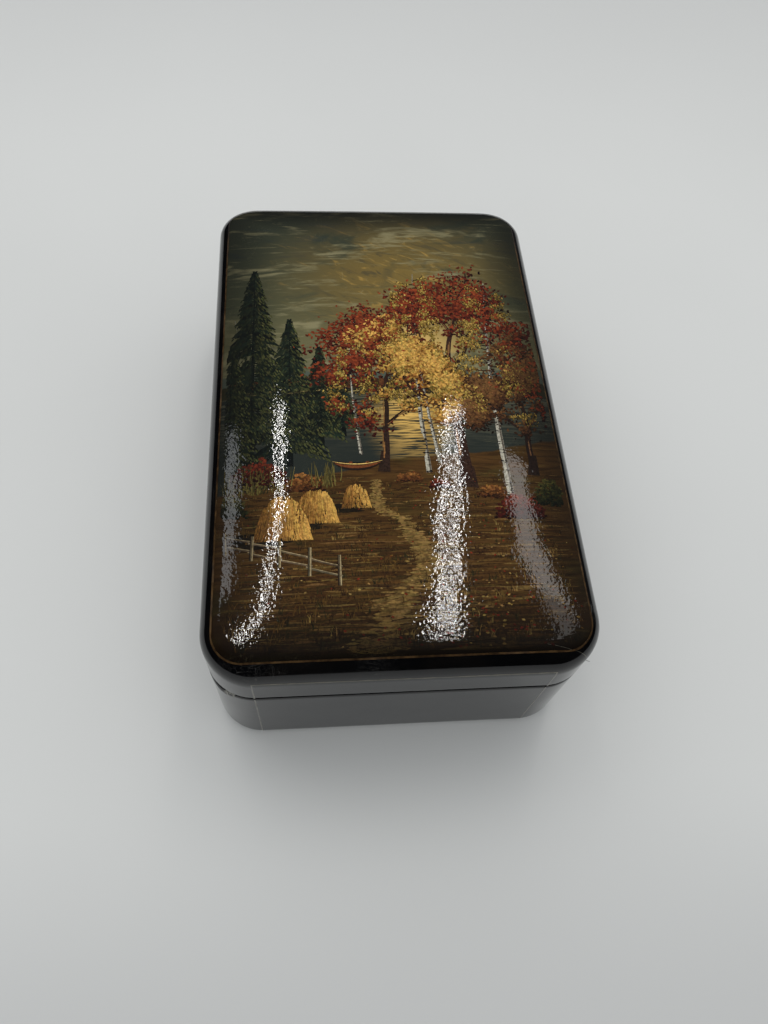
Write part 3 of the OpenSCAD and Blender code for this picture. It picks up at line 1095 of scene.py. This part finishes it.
# Painted motifs. Each stroke is a thin closed sliver of paint that lies on the crown, and carries
# its own colour. Places are in millimetres from the lid's middle.
strokeLimits = {"thick": 0.012, "lowest": 0.014, "relief": 0.006, "leaves": 6500}


rng = random.Random(0)
vary = rng.uniform


def shade(color, spread=0.18):
    level = 1 + vary(-spread, spread)
    return tuple(max(0.0, part * level * (1 + vary(-0.07, 0.07))) for part in color[:3]) + (1.0,)


def blend(first, second, share):
    share = max(0.0, min(1.0, share))
    return tuple(a + (b - a) * share for a, b in zip(first, second))


def litTone(tones, lit, gain=2.0):
    # dark to middle to light as the light on a dab grows
    if lit < 0.5:
        return blend(tones["dark"], tones["middle"], lit * 2)
    return blend(tones["middle"], tones["light"], (lit - 0.5) * gain)


def dab(items, start, end, width, color, lift, bend=0.0, tip=None):
    # tip: width at the end of a limb; without it the stroke is leaf shaped
    items.append({
        "start": start, "end": end, "width": width, "color": color, "lift": lift, "bend": bend, "tip": tip})


def strokePoint(item, along, across):
    (x0, y0), (x1, y1) = item["start"], item["end"]
    length = math.hypot(x1 - x0, y1 - y0) or 1e-6
    dx, dy = (x1 - x0) / length, (y1 - y0) / length
    side = item["bend"] * 4 * along * (1 - along)
    slope = item["bend"] * 4 * (1 - 2 * along) / length
    if item["tip"] is None:
        half = item["width"] / 2 * max(0.12, math.sqrt(max(0, 1 - (2 * along - 1) ** 2)))
    else:
        half = (item["width"] + (item["tip"] - item["width"]) * along) / 2
    reach = side + half * across
    x = x0 + dx * (length * along - slope * half * across) - dy * reach
    y = y0 + dy * (length * along - slope * half * across) + dx * reach
    return x, y


def paintStrokes(name, items, columns, rows=2, finish=dabFinish):
    # one wide grid, cut into strips; every strip is bent into a stroke
    bm = bmesh.new()
    paint = bm.verts.layers.float_color.new("paint")
    pitch = columns + 1
    wide = len(items) * pitch - 1
    made = bmesh.ops.create_grid(bm, x_segments=wide, y_segments=rows, size=1)["verts"]
    for vert in made:
        place = round((vert.co.x + 1) / 2 * wide)
        item = items[place // pitch]
        along = (place % pitch) / columns
        across = round((vert.co.y + 1) / 2 * rows) / rows * 2 - 1
        x, y = strokePoint(item, along, across)
        dome = strokeLimits["relief"] * (1 - across * across)
        vert[paint] = item["color"]
        vert.co = (x, y, topAt(x, y) + strokeLimits["lowest"] + item["lift"] + dome)
    between = []
    for face in bm.faces:
        lowest = min(vert.index for vert in face.verts)
        if lowest % (wide + 1) % pitch == columns:
            between.append(face)
    bmesh.ops.delete(bm, geom=between, context="FACES")
    bm.normal_update()
    down = [face for face in bm.faces if face.normal.z < 0]
    bmesh.ops.reverse_faces(bm, faces=down)
    bmesh.ops.solidify(bm, geom=bm.faces[:], thickness=strokeLimits["thick"])
    followCrown(finishPiece(name, bm, "lid", [finish], sharp=50))


def inPicture(x, y, room=1.2):
    return insetAt(x, y, box["pictureRadius"], box["sideBorder"], box["border"]) > room


def keepInside(items):
    return [item for item in items if inPicture(*item["start"]) and inPicture(*item["end"])]


farShore = {
    "seed": 3,
    "dark": sRGB(38, 36, 24),
    "light": sRGB(112, 92, 46),
    "rust": sRGB(108, 52, 28),
    "waterline": sRGB(150, 132, 84),
}


def makeFarShore():
    # small tree heads along the far shore, and their dark foot at the water
    rng.seed(farShore["seed"])
    items = []
    x = -44.0
    while x < 44:
        tall = 3.2 + 3.4 * abs(wander(x * 0.11, 2.0)) + vary(-0.5, 1.6)
        pointed = rng.random() < 0.35
        wide = 1.5 if pointed else vary(2.2, 3.6)
        tone = shade(blend(farShore["dark"], farShore["rust"], rng.random() * 0.5), 0.3)
        dab(items, (x, 0.4), (x, 0.4 + tall), wide, tone, vary(0, 0.004))
        for _ in range(7):
            up = vary(0.3, 0.95)
            off = vary(-0.5, 0.5) * wide * (1 - up if pointed else 1 - 0.6 * up)
            light = blend(tone, farShore["light"], vary(0.0, 0.6) * up)
            place = (x + off, 0.4 + tall * up)
            dab(items, place, (place[0] + 0.5, place[1] - 0.25), 0.4, light, vary(0.005, 0.012))
        x += vary(0.7, 1.5)
    for _ in range(70):
        x = vary(-44, 42)
        y = vary(-1.4, 0.5)
        tone = shade(blend(farShore["dark"], farShore["waterline"], rng.random() ** 3), 0.2)
        dab(items, (x, y), (x + vary(1.5, 5), y), vary(0.25, 0.6), tone, 0.014)
    paintStrokes("farShore", keepInside(items), 3, 1)


firTrees = {
    "seed": 21,
    # each tree's x, foot, height and width
    "places": [
        (-38, -18, 66, 25), (-27.5, -23, 50, 20), (-19, -17, 33, 13), (-44, -26, 44, 17), (-13, -14, 19, 8),
    ],
    "dark": sRGB(14, 19, 17),
    "middle": sRGB(32, 42, 31),
    "light": sRGB(88, 88, 48),
    "trunk": 1.7,
    "trunkParts": 12,
    "levelGap": 0.85,
    "needleGap": 0.75,
}


def makeFirs():
    rng.seed(firTrees["seed"])
    items = []
    for x, foot, tall, wide in firTrees["places"]:
        count = firTrees["trunkParts"]
        for part in range(count):
            low, high = (foot - 2 + (tall + 2) * run / count for run in (part, part + 1.2))
            high = min(high, foot + tall)
            trunk = firTrees["trunk"] * (1 - part / (count + 1))
            dab(items, (x, low), (x, high), trunk, firTrees["dark"], 0.004, 0.0, trunk * 0.9)
        levels = int(tall / firTrees["levelGap"])
        for level in range(levels):
            share = (level + 0.5) / levels
            y = foot + tall * (1 - 0.95 * share)
            for way in (-1, 1, rng.choice((-0.4, 0.4))):
                reach = abs(way) * (wide / 2 * share ** 0.8 * vary(0.6, 1.12) + 0.4)
                side = 1 if way > 0 else -1
                drop = reach * vary(0.22, 0.5)
                tone = shade(blend(firTrees["dark"], firTrees["middle"], rng.random() * 0.9), 0.2)
                end = (x + side * reach, y - drop)
                lift = vary(0.004, 0.02)
                dab(items, (x, y), end, 1.5, tone, lift, side * reach * 0.12)
                count = int(reach / firTrees["needleGap"])
                for needle in range(count):
                    run = (needle + rng.random()) / count
                    nx = x + side * reach * run
                    ny = y - drop * run + vary(-0.2, 0.4)
                    lit = max(0, side * 0.5 + 0.2) * run + vary(-0.1, 0.25)
                    color = shade(blend(tone, firTrees["light"], lit), 0.25)
                    long = vary(0.9, 1.9)
                    tip = (nx + side * long * 0.45, ny - long * 0.75)
                    dab(items, (nx, ny), tip, 0.42, color, lift + vary(0.002, 0.02))
    paintStrokes("firTrees", keepInside(items), 3, 1)


groveTrees = {
    "seed": 34,
    "trees": [
        {
            "name": "oakTree", "foot": (20, -31), "height": 21, "width": 3.6, "lean": -0.05, "depth": 5,
            "leaf": 1.25, "clump": 4.2, "leaves": 66,
            "bark": sRGB(50, 34, 26), "barkLight": sRGB(128, 90, 54),
            "dark": sRGB(30, 14, 12), "middle": sRGB(82, 30, 21), "light": sRGB(144, 66, 36),
        },
        {
            "name": "mapleTree", "foot": (-2, -26), "height": 13, "width": 2.0, "lean": 0.05, "depth": 5,
            "leaf": 1.1, "clump": 2.8, "leaves": 50,
            "bark": sRGB(46, 32, 24), "barkLight": sRGB(140, 100, 56),
            "dark": sRGB(58, 30, 15), "middle": sRGB(136, 88, 36), "light": sRGB(214, 168, 84),
        },
        {
            "name": "roseTree", "foot": (39, -27), "height": 13, "width": 2.0, "lean": -0.02, "depth": 4,
            "leaf": 1.15, "clump": 3.6, "leaves": 80,
            "bark": sRGB(42, 30, 24), "barkLight": sRGB(110, 76, 48),
            "dark": sRGB(28, 19, 13), "middle": sRGB(66, 40, 24), "light": sRGB(118, 82, 46),
        },
    ],
}


def growLimbs(start, angle, length, width, depth, limbs, tips):
    end = (start[0] + math.sin(angle) * length, start[1] + math.cos(angle) * length)
    limbs.append((start, end, width, width * 0.74))
    if depth < 5:
        tips.append(end)
    if depth == 0:
        return
    leader = angle * 0.7 + vary(-0.22, 0.22)
    growLimbs(end, leader, length * vary(0.74, 0.86), width * 0.7, depth - 1, limbs, tips)
    first = rng.choice((-1, 1))
    for way in (first, -first)[:1 if rng.random() < 0.3 else 2]:
        turned = angle + way * vary(0.45, 0.95)
        growLimbs(end, turned, length * vary(0.55, 0.75), width * 0.52, depth - 1, limbs, tips)


def leafCloud(tree, centre, count, spread, flat=0.8):
    # dabs round one spot, lighter on the side that looks to the sun
    items = []
    for _ in range(count):
        dx, dy = rng.gauss(0, 0.5) * spread, rng.gauss(0, 0.5) * spread * flat
        lit = 0.45 + (-0.3 * dx + 0.55 * dy) / spread + vary(-0.35, 0.35)
        color = litTone(tree, lit, 1.6)
        angle = vary(0, math.pi)
        long = tree["leaf"] * vary(0.55, 1.15)
        x, y = centre[0] + dx, centre[1] + dy
        end = (x + math.cos(angle) * long, y + math.sin(angle) * long)
        lift = 0.016 + 0.03 * max(0, min(1, lit)) + vary(0, 0.008)
        dab(items, (x, y), end, long * 0.55, shade(color, 0.16), lift)
    return items


def makeGrove():
    for index, tree in enumerate(groveTrees["trees"]):
        rng.seed(groveTrees["seed"] + index)
        limbs, tips = [], []
        growLimbs(tree["foot"], tree["lean"], tree["height"], tree["width"], tree["depth"], limbs, tips)
        wood, leaves = [], []
        foot = tree["foot"]
        root, top, width = (foot[0] - 0.6, foot[1] - 1.6), (foot[0], foot[1] + 5), tree["width"]
        dab(wood, root, top, width * 1.7, tree["bark"], 0.012, 0, width)
        for start, end, width, tip in limbs:
            bend = vary(-0.07, 0.07) * math.dist(start, end)
            dab(wood, start, end, width, shade(tree["bark"], 0.2), 0.014 + vary(0, 0.004), bend, tip)
            for _ in range(3 if width > 0.8 else 1):
                # streaks of light on the bark
                run, far = vary(0, 0.6), vary(0.2, 0.4)
                aside = Vector((-width * vary(0.1, 0.38), 0))
                low, high = (Vector(start).lerp(Vector(end), part) + aside for part in (run, run + far))
                dab(wood, low, high, width * 0.2, shade(tree["barkLight"], 0.3), 0.02, 0, width * 0.08)
        for tip in tips:
            leaves += leafCloud(tree, tip, tree["leaves"], tree["clump"] * vary(0.7, 1.25))
        leaves = keepInside(leaves)
        rng.shuffle(leaves)
        print(tree["name"], len(wood), "limbs", len(leaves), "leaves")
        paintStrokes(tree["name"], keepInside(wood), 4, 2)
        paintStrokes(tree["name"] + "Leaves", leaves[:strokeLimits["leaves"]], 3, 1)


birchTrees = {
    "seed": 51,
    # each tree's x, foot, height, width and lean
    "places": [
        (9.5, -28, 74, 1.5, 0.02), (12.8, -25, 58, 1.1, -0.05),
        (31, -35, 78, 1.9, 0.03), (-8.5, -22, 44, 0.9, -0.03),
    ],
    "bend": 0.02,
    "bark": sRGB(176, 170, 152),
    "shadow": sRGB(96, 88, 76),
    "mark": sRGB(34, 28, 26),
    "leaf": 0.95,
    "dark": sRGB(58, 48, 22),
    "middle": sRGB(128, 102, 42),
    "light": sRGB(200, 168, 88),
}


def birchPoint(x, foot, tall, lean, run):
    # where a birch's bent trunk is at a share of its height
    return x + tall * lean * run - 4 * run * (1 - run) * tall * birchTrees["bend"], foot + tall * run


def hangLeaves(leaves, start, end, way, reach):
    # strings of leaves that hang from a bough
    for _ in range(int(6 + reach * 2.2)):
        along = vary(0.25, 1.05)
        sx = start[0] + (end[0] - start[0]) * along
        sy = start[1] + (end[1] - start[1]) * along
        fall = vary(1.5, 6) * along
        for _ in range(int(3 + fall * 1.4)):
            part = rng.random()
            x, y = sx + rng.gauss(0, 0.5) + way * part * 0.5, sy - fall * part
            lit = rng.random() * (1 - 0.4 * part)
            color = litTone(birchTrees, lit)
            long = birchTrees["leaf"] * vary(0.5, 1.1)
            tip = (x + vary(-0.5, 0.5) * long, y - long * 0.8)
            dab(leaves, (x, y), tip, long * 0.5, shade(color, 0.2), 0.03 + 0.02 * lit + vary(0, 0.008))


def makeBirches():
    rng.seed(birchTrees["seed"])
    wood, leaves = [], []
    for x, foot, tall, width, lean in birchTrees["places"]:
        top = (x + tall * lean, foot + tall)
        bend = tall * birchTrees["bend"]
        dab(wood, (x, foot), top, width, birchTrees["bark"], 0.018, bend, width * 0.12)
        dab(wood, (x + width * 0.3, foot), top, width * 0.35, birchTrees["shadow"], 0.024, bend, 0.06)
        for _ in range(int(tall * 0.9)):
            run = rng.random() ** 1.3 * 0.85
            side = rng.choice((-1, 1)) * width * (1 - run) * 0.3
            mx, my = birchPoint(x, foot, tall, lean, run)
            size = vary(0.3, 0.75) * width
            ends = (mx + side - size / 2, my), (mx + side + size / 2, my + vary(-0.1, 0.1))
            dab(wood, *ends, vary(0.15, 0.4), birchTrees["mark"], 0.03)
        for bough in range(int(tall * 0.42)):
            run = 0.32 + 0.66 * bough / (tall * 0.42)
            start = birchPoint(x, foot, tall, lean, run)
            way = rng.choice((-1, 1))
            reach = tall * 0.15 * (1.25 - run) * vary(0.6, 1.2) + 1
            end = (start[0] + way * reach, start[1] + reach * vary(0.2, 0.8))
            dab(wood, start, end, 0.4, shade(birchTrees["mark"], 0.3), 0.016, -way * reach * 0.12, 0.1)
            hangLeaves(leaves, start, end, way, reach)
    print("birches", len(wood), len(leaves))
    leaves = keepInside(leaves)
    rng.shuffle(leaves)
    paintStrokes("birchTrees", keepInside(wood), 4, 2)
    paintStrokes("birchLeaves", leaves[:strokeLimits["leaves"]], 3, 1)


bushes = {
    "seed": 63,
    "leaf": 1.0,
    # each bush's x, foot, width, height and colours
    "places": [
        (-36, -31, 15, 9, "brick"), (-24, -33, 10, 6, "rust"), (33, -42, 13, 8, "brick"),
        (42, -38, 9, 9, "green"), (4, -31, 7, 3.4, "rust"), (26, -36, 8, 4.5, "rust"),
        (-43, -40, 9, 8, "green"), (12, -33, 6, 3, "brick"),
    ],
    "brick": {"dark": sRGB(28, 13, 11), "middle": sRGB(74, 27, 20), "light": sRGB(126, 54, 34)},
    "rust": {"dark": sRGB(40, 23, 14), "middle": sRGB(100, 60, 30), "light": sRGB(160, 108, 54)},
    "green": {"dark": sRGB(16, 20, 13), "middle": sRGB(48, 50, 26), "light": sRGB(106, 96, 46)},
}


def makeBushes():
    rng.seed(bushes["seed"])
    items = []
    for x, y, wide, tall, kind in bushes["places"]:
        for _ in range(int(wide * tall * 5.5)):
            angle, far = vary(0, math.pi), math.sqrt(rng.random())
            px = x + math.cos(angle) * far * wide / 2
            py = y + math.sin(angle) * far * tall * (0.85 + 0.3 * wander(px * 0.5, 4.0))
            share = (py - y) / tall
            lit = 0.9 * share + vary(-0.25, 0.35)
            color = litTone(bushes[kind], lit)
            long = bushes["leaf"] * vary(0.6, 1.3)
            turn = vary(0, math.pi)
            end = (px + math.cos(turn) * long, py + math.sin(turn) * long * 0.7)
            color = shade(color, 0.2)
            dab(items, (px, py), end, long * 0.6, color, 0.03 + 0.02 * rng.random() - 0.012 * share)
    rng.shuffle(items)
    print("bushes", len(items))
    paintStrokes("bushes", keepInside(items)[:strokeLimits["leaves"]], 3, 1)


meadow = {
    "seed": 77,
    "base": sRGB(66, 44, 22),
    "golden": sRGB(102, 74, 34),
    "pale": sRGB(150, 120, 66),
    "brown": sRGB(58, 38, 20),
    "dark": sRGB(26, 19, 12),
    "green": sRGB(50, 46, 24),
    "brick": sRGB(112, 38, 22),
    "far": -27,
    "deep": 50,
    "halfWidth": 43,
    "path": [(-10, -80), (-4, -66), (6, -54), (2, -44), (-6, -37), (-5, -29)],
}


def pathAt(y):
    points = meadow["path"]
    for (x0, y0), (x1, y1) in zip(points, points[1:]):
        if y0 <= y <= y1:
            share = (y - y0) / (y1 - y0)
            share = share * share * (3 - 2 * share)
            return x0 + (x1 - x0) * share
    return 0.0


def nearness(y):
    # 0 at the meadow's far bank, 1 at the picture's foot
    return (meadow["far"] - y) / meadow["deep"]


def pathWidth(near):
    return 1.5 + 7 * near


def makeMeadow():
    rng.seed(meadow["seed"])
    flat, blades = [], []
    for _ in range(2200):
        y = meadow["far"] - meadow["deep"] * rng.random() ** 0.9
        near = nearness(y)
        x = vary(-meadow["halfWidth"], meadow["halfWidth"])
        long = (4 + 14 * near) * vary(0.4, 1.2)
        tone = rng.choice(("golden", "golden", "brown", "brown", "dark", "green", "pale"))
        color = blend(meadow[tone], meadow["base"], 0.62)
        color = blend(color, meadow["dark"], 0.6 * max(0, near - 0.55) * rng.random())
        start, end = (x, y), (x + long, y + vary(-0.25, 0.25))
        wide = (0.25 + 0.3 * near) * vary(0.5, 1.4)
        dab(flat, start, end, wide, shade(color, 0.15), vary(0, 0.004), vary(-0.3, 0.3))
    for _ in range(900):
        # the trodden path, paler, in flat strokes
        y = -30 - 47 * rng.random()
        near = nearness(y)
        wide = pathWidth(near)
        x = pathAt(y) + rng.gauss(0, 0.33) * wide
        long = (0.8 + 3.4 * near) * vary(0.5, 1.2)
        color = blend(meadow["pale"], meadow["brown"], 0.15 + 0.85 * rng.random() * (0.4 + 0.6 * near))
        end = (x + long, y + vary(-0.15, 0.15))
        dab(flat, (x, y), end, 0.3 + 0.35 * near, shade(color, 0.15), 0.005 + vary(0, 0.004))
    for _ in range(620):
        y = -29 - 48 * rng.random() ** 0.85
        near = nearness(y)
        x = vary(-meadow["halfWidth"], meadow["halfWidth"])
        wide = pathWidth(near)
        if abs(x - pathAt(y)) < wide * 0.55:
            continue
        kind = rng.random()
        tone = "golden" if kind < 0.4 else "green" if kind < 0.65 else "brown" if kind < 0.93 else "pale"
        for _ in range(rng.randint(3, 6)):
            long = (0.8 + 1.7 * near) * vary(0.5, 1.2)
            side = rng.gauss(0, 0.3) * long
            base = (x + rng.gauss(0, 0.35) * (1 + near), y)
            color = blend(meadow[tone], meadow["dark"], rng.random() * (0.3 + 0.5 * max(0, near - 0.5) * 2))
            tip, wide = (base[0] + side, y + long), 0.13 + 0.1 * near
            dab(blades, base, tip, wide, shade(color, 0.25), 0.012 + vary(0, 0.012), side * 0.25, 0.05)
    for _ in range(420):
        y = -30 - 46 * rng.random()
        near = nearness(y)
        x = rng.gauss(16, 20)
        color = shade(rng.choice((meadow["brick"], meadow["pale"], meadow["golden"])), 0.3)
        long = (0.35 + 0.55 * near) * vary(0.7, 1.3)
        turn = vary(-0.6, 0.6)
        end = (x + math.cos(turn) * long, y + math.sin(turn) * long)
        dab(blades, (x, y), end, long * 0.55, color, 0.026)
    paintStrokes("meadowStrokes", keepInside(flat), 3, 1)
    paintStrokes("grassBlades", keepInside(blades), 3, 1)


haystacks = {
    "seed": 81,
    "places": [(-21, -42, 10.5, 10), (-10.5, -38, 7, 7), (-29.5, -46.5, 13.5, 12.5)],
    "light": sRGB(208, 160, 80),
    "middle": sRGB(142, 98, 44),
    "dark": sRGB(62, 40, 22),
    "shadow": sRGB(30, 24, 16),
}


def makeHaystacks():
    rng.seed(haystacks["seed"])
    items = []
    for x, foot, wide, tall in haystacks["places"]:
        for _ in range(60):
            y = foot - vary(-0.3, 0.16) * tall * 0.5
            start = (x - wide * vary(0.4, 1.0), y - rng.random() * tall * 0.12)
            end = (start[0] + wide * vary(0.3, 0.8), start[1])
            dab(items, start, end, 0.7, shade(haystacks["shadow"], 0.3), 0.016 + vary(0, 0.004))
        for _ in range(int(wide * tall * 7)):
            across = vary(-1, 1)
            crest = tall * math.sqrt(max(0, 1 - abs(across) ** 2.3))
            y = foot + crest * rng.random() ** 0.75
            px = x + across * wide / 2
            long = vary(1.0, 2.4) * tall / 9
            fan = across * 0.5 + vary(-0.15, 0.15)
            lit = 0.5 + 0.42 * across + 0.22 * (y - foot) / tall + vary(-0.22, 0.22)
            color = litTone(haystacks, lit)
            end = (px + fan * long * 0.6, max(foot - 0.4, y - long))
            dab(items, (px, y), end, 0.32, shade(color, 0.14), 0.024 + vary(0, 0.02), 0, 0.1)
        for way in (-0.5, 0.2, 0.6):
            start, end = (x + way * 0.4, foot + tall * 0.96), (x + way * 2.4, foot + tall * 1.2)
            dab(items, start, end, 0.22, haystacks["dark"], 0.03, 0, 0.1)
    print("haystacks", len(items))
    paintStrokes("haystacks", keepInside(items), 3, 1)


fence = {
    "seed": 91,
    "posts": [(-44, -50), (-37.5, -52), (-30.5, -54.2), (-23, -56.8), (-15.5, -59.6)],
    "wood": sRGB(92, 78, 60),
    "light": sRGB(170, 150, 112),
    "dark": sRGB(38, 30, 24),
}


def makeFence():
    rng.seed(fence["seed"])
    items = []
    for index, (x, y) in enumerate(fence["posts"]):
        tall = 6.4 + index * 0.45
        lean = vary(-0.4, 0.4)
        dab(items, (x, y), (x + lean, y + tall), 1.0, shade(fence["wood"], 0.15), 0.05, 0, 0.85)
        for off, wide, tone in ((0.28, 0.28, "light"), (-0.36, 0.26, "dark")):
            dab(items, (x + off, y), (x + lean + off, y + tall), wide, fence[tone], 0.056, 0, 0.2)
    for (x0, y0), (x1, y1) in zip(fence["posts"], fence["posts"][1:]):
        for high in (2.3, 4.9):
            sag = vary(-0.25, 0.1)
            a = (x0 - 0.8, y0 + high + vary(-0.2, 0.2))
            b = (x1 + 0.8, y1 + high + vary(-0.1, 0.3))
            dab(items, a, b, 0.62, shade(fence["wood"], 0.2), 0.044, sag, 0.55)
            dab(items, (a[0], a[1] + 0.2), (b[0], b[1] + 0.18), 0.16, fence["light"], 0.05, sag, 0.12)
    paintStrokes("fence", items, 4, 1)


boat = {
    "place": (-9.5, -24.5),
    "hull": sRGB(40, 28, 22),
    "side": sRGB(112, 62, 34),
    "rim": sRGB(226, 186, 108),
    "inside": sRGB(20, 17, 15),
    "reed": sRGB(120, 106, 54),
    "reedDark": sRGB(44, 42, 24),
    "seed": 95,
    # each plank's ends from the boat's place, its width, its paint, its lift and its bend
    "planks": [
        (-6.2, -0.2, 6.0, -0.1, 1.3, "inside", 0.04, -0.5), (-6.6, 0.3, 6.4, 0.4, 2.4, "hull", 0.034, -1.7),
        (-6.3, -0.1, 6.1, 0, 0.9, "side", 0.046, -1.35), (-6.8, 0.45, 6.6, 0.5, 0.3, "rim", 0.05, -1.0),
        (-2.5, -0.1, -1.4, 0.1, 0.6, "side", 0.052, 0), (2.0, -0.1, 3.1, 0.1, 0.6, "side", 0.052, 0),
    ],
}


def makeBoat():
    rng.seed(boat["seed"])
    x, y = boat["place"]
    items = []
    for x0, y0, x1, y1, wide, paint, lift, bend in boat["planks"]:
        dab(items, (x + x0, y + y0), (x + x1, y + y1), wide, boat[paint], lift, bend)
    for _ in range(150):
        foot = rng.choice((-42, -37, -33, -18)) + rng.gauss(0, 2.2)
        low = -30 + 0.16 * foot * 0.3 + vary(-1.5, 1.5)
        tall = vary(3, 7.5)
        color = blend(boat["reedDark"], boat["reed"], rng.random())
        tip = (foot + rng.gauss(0, 0.7), low + tall)
        dab(items, (foot, low), tip, 0.3, color, 0.036 + vary(0, 0.01), vary(-0.3, 0.3), 0.08)
    paintStrokes("boatAndReeds", keepInside(items), 8, 1)


# Fine cracks and scratches in the clear lacquer: the points that each runs through, and its width
wear = [
    ([(34.4, -76.1), (37.6, -76.8), (40.6, -77.6), (43.6, -78.2), (46.2, -79.0)], 0.14),
    ([(-43.6, 27.9), (-42.7, 21.5), (-41.4, 14.8)], 0.13),
]


def makeWear():
    items = []
    for points, width in wear:
        for start, end in zip(points, points[1:]):
            dab(items, start, end, width, landscape["edge"], 0.0, 0.05, width * 0.8)
    paintStrokes("wearMarks", items, 6, 1, fadedFinish)


makeWear()
makeMeadow()
makeBushes()
makeHaystacks()
makeFence()
makeBoat()
makeFarShore()
makeFirs()
makeGrove()
makeBirches()
print("trees painted")

# Floor and lights
stage = {
    "floor": sRGB(207, 207, 204),
    "floorShade": sRGB(203, 203, 200),
    # painted shade that darkens the table towards the viewer and far away
    "floorPaintedShade": sRGB(188, 188, 186),
    "room": 0.004,
    "farWall": 0.085,
    "softLight": 0.82,
    "ceiling": 8.8,
    "ceilingPlace": (-0.35, 1.05, 1.45),
    "ceilingSize": (2.2, 1.2),
    "roomColor": (0.94, 0.97, 1.0, 1),
    # each lamp as its two ends, its width, its power and its colour
    "lamps": [
        ("lampLeft", (-0.29, 0.58, 1.5), (-0.345, 1.13, 1.5), 0.006, 0.75, (1.0, 0.98, 0.95)),
        ("lampLeftLow", (-0.25, 0.33, 1.5), (-0.29, 0.58, 1.5), 0.004, 0.24, (1.0, 0.98, 0.95)),
        ("lampRightA", (0.237, 0.2, 1.5), (0.443, 1.09, 1.5), 0.005, 1.1, (1.0, 0.99, 0.97)),
        ("lampRightB", (0.282, 0.2, 1.5), (0.507, 1.09, 1.5), 0.005, 1.1, (1.0, 0.99, 0.97)),
        ("windowLeft", (-0.45, 0.5, 1.5), (-0.63, 1.06, 1.5), 0.05, 0.2, (0.95, 0.98, 1.0)),
        ("windowRight", (0.66, 0.46, 1.5), (0.775, 0.95, 1.5), 0.1, 0.4, (1.0, 0.98, 0.95)),
        ("windowRightLow", (0.575, 0.1, 1.5), (0.66, 0.46, 1.5), 0.07, 0.08, (1.0, 0.98, 0.95)),
    ],
}


def floorSockets():
    point = objectPoint()
    cloud = noiseOf(point, 0.004, 3.0, 0.5)
    color = mixColor(remap(cloud, 0.3, 0.7), stage["floor"], stage["floorShade"])
    # painted shade: the table is painted a little darker towards the viewer and far away
    along = parts(point)[1]
    paintedShade = most(remap(along, -95, -165), remap(along, 130, 420))
    color = mixColor(paintedShade, color, stage["floorPaintedShade"])
    return {"Base Color": color, "Roughness": 0.55}


def makeFloor():
    bm = bmesh.new()
    bmesh.ops.create_grid(bm, x_segments=1, y_segments=1, size=1.5)
    floor = newObject("floor", bm, 1)
    floor.data.materials.append(newMaterial("floor", floorSockets))


def areaLight(name, place, size, power, color=(1, 1, 1)):
    data = bpy.data.lights.new(name, "AREA")
    data.shape = "RECTANGLE"
    data.size, data.size_y = size
    data.energy = power
    data.color = color
    light = bpy.data.objects.new(name, data)
    light.location = place
    scene.collection.objects.link(light)
    return light


def makeLights():
    # soft light from all round; what shines reflects a room that is dark behind the viewer and
    # to the left, and dimly lit ahead and to the right
    world = bpy.data.worlds.new("room")
    scene.world = world
    world.use_nodes = True
    work["tree"] = world.node_tree
    way = addNode("TexCoord").outputs["Generated"]
    lit = vectorCalc("DOT_PRODUCT", way, (0.3, 0.55, 0.78))
    level = remap(lit, 0.35, 0.95, stage["room"], stage["farWall"])
    mirrored = addNode("LightPath").outputs["Is Glossy Ray"]
    level = addNode("Mix", {0: mirrored, 2: stage["softLight"], 3: level}).outputs[0]
    background = world.node_tree.nodes["Background"].inputs
    feed(background["Color"], stage["roomColor"])
    feed(background["Strength"], level)
    ceiling = areaLight("ceiling", stage["ceilingPlace"], stage["ceilingSize"], stage["ceiling"])
    ceiling.rotation_euler = (-ceiling.location).to_track_quat("-Z", "Y").to_euler()
    ceiling.visible_glossy = False
    for name, start, end, wide, power, color in stage["lamps"]:
        # a ceiling lamp from one place to the other, facing down
        start, end = Vector(start), Vector(end)
        lamp = areaLight(name, (start + end) / 2, (wide, (end - start).length), power, color)
        lamp.rotation_euler = (0, 0, math.atan2(start.x - end.x, end.y - start.y))


makeFloor()
makeLights()
scene.view_settings.view_transform = "Standard"
print("floor and lights made")
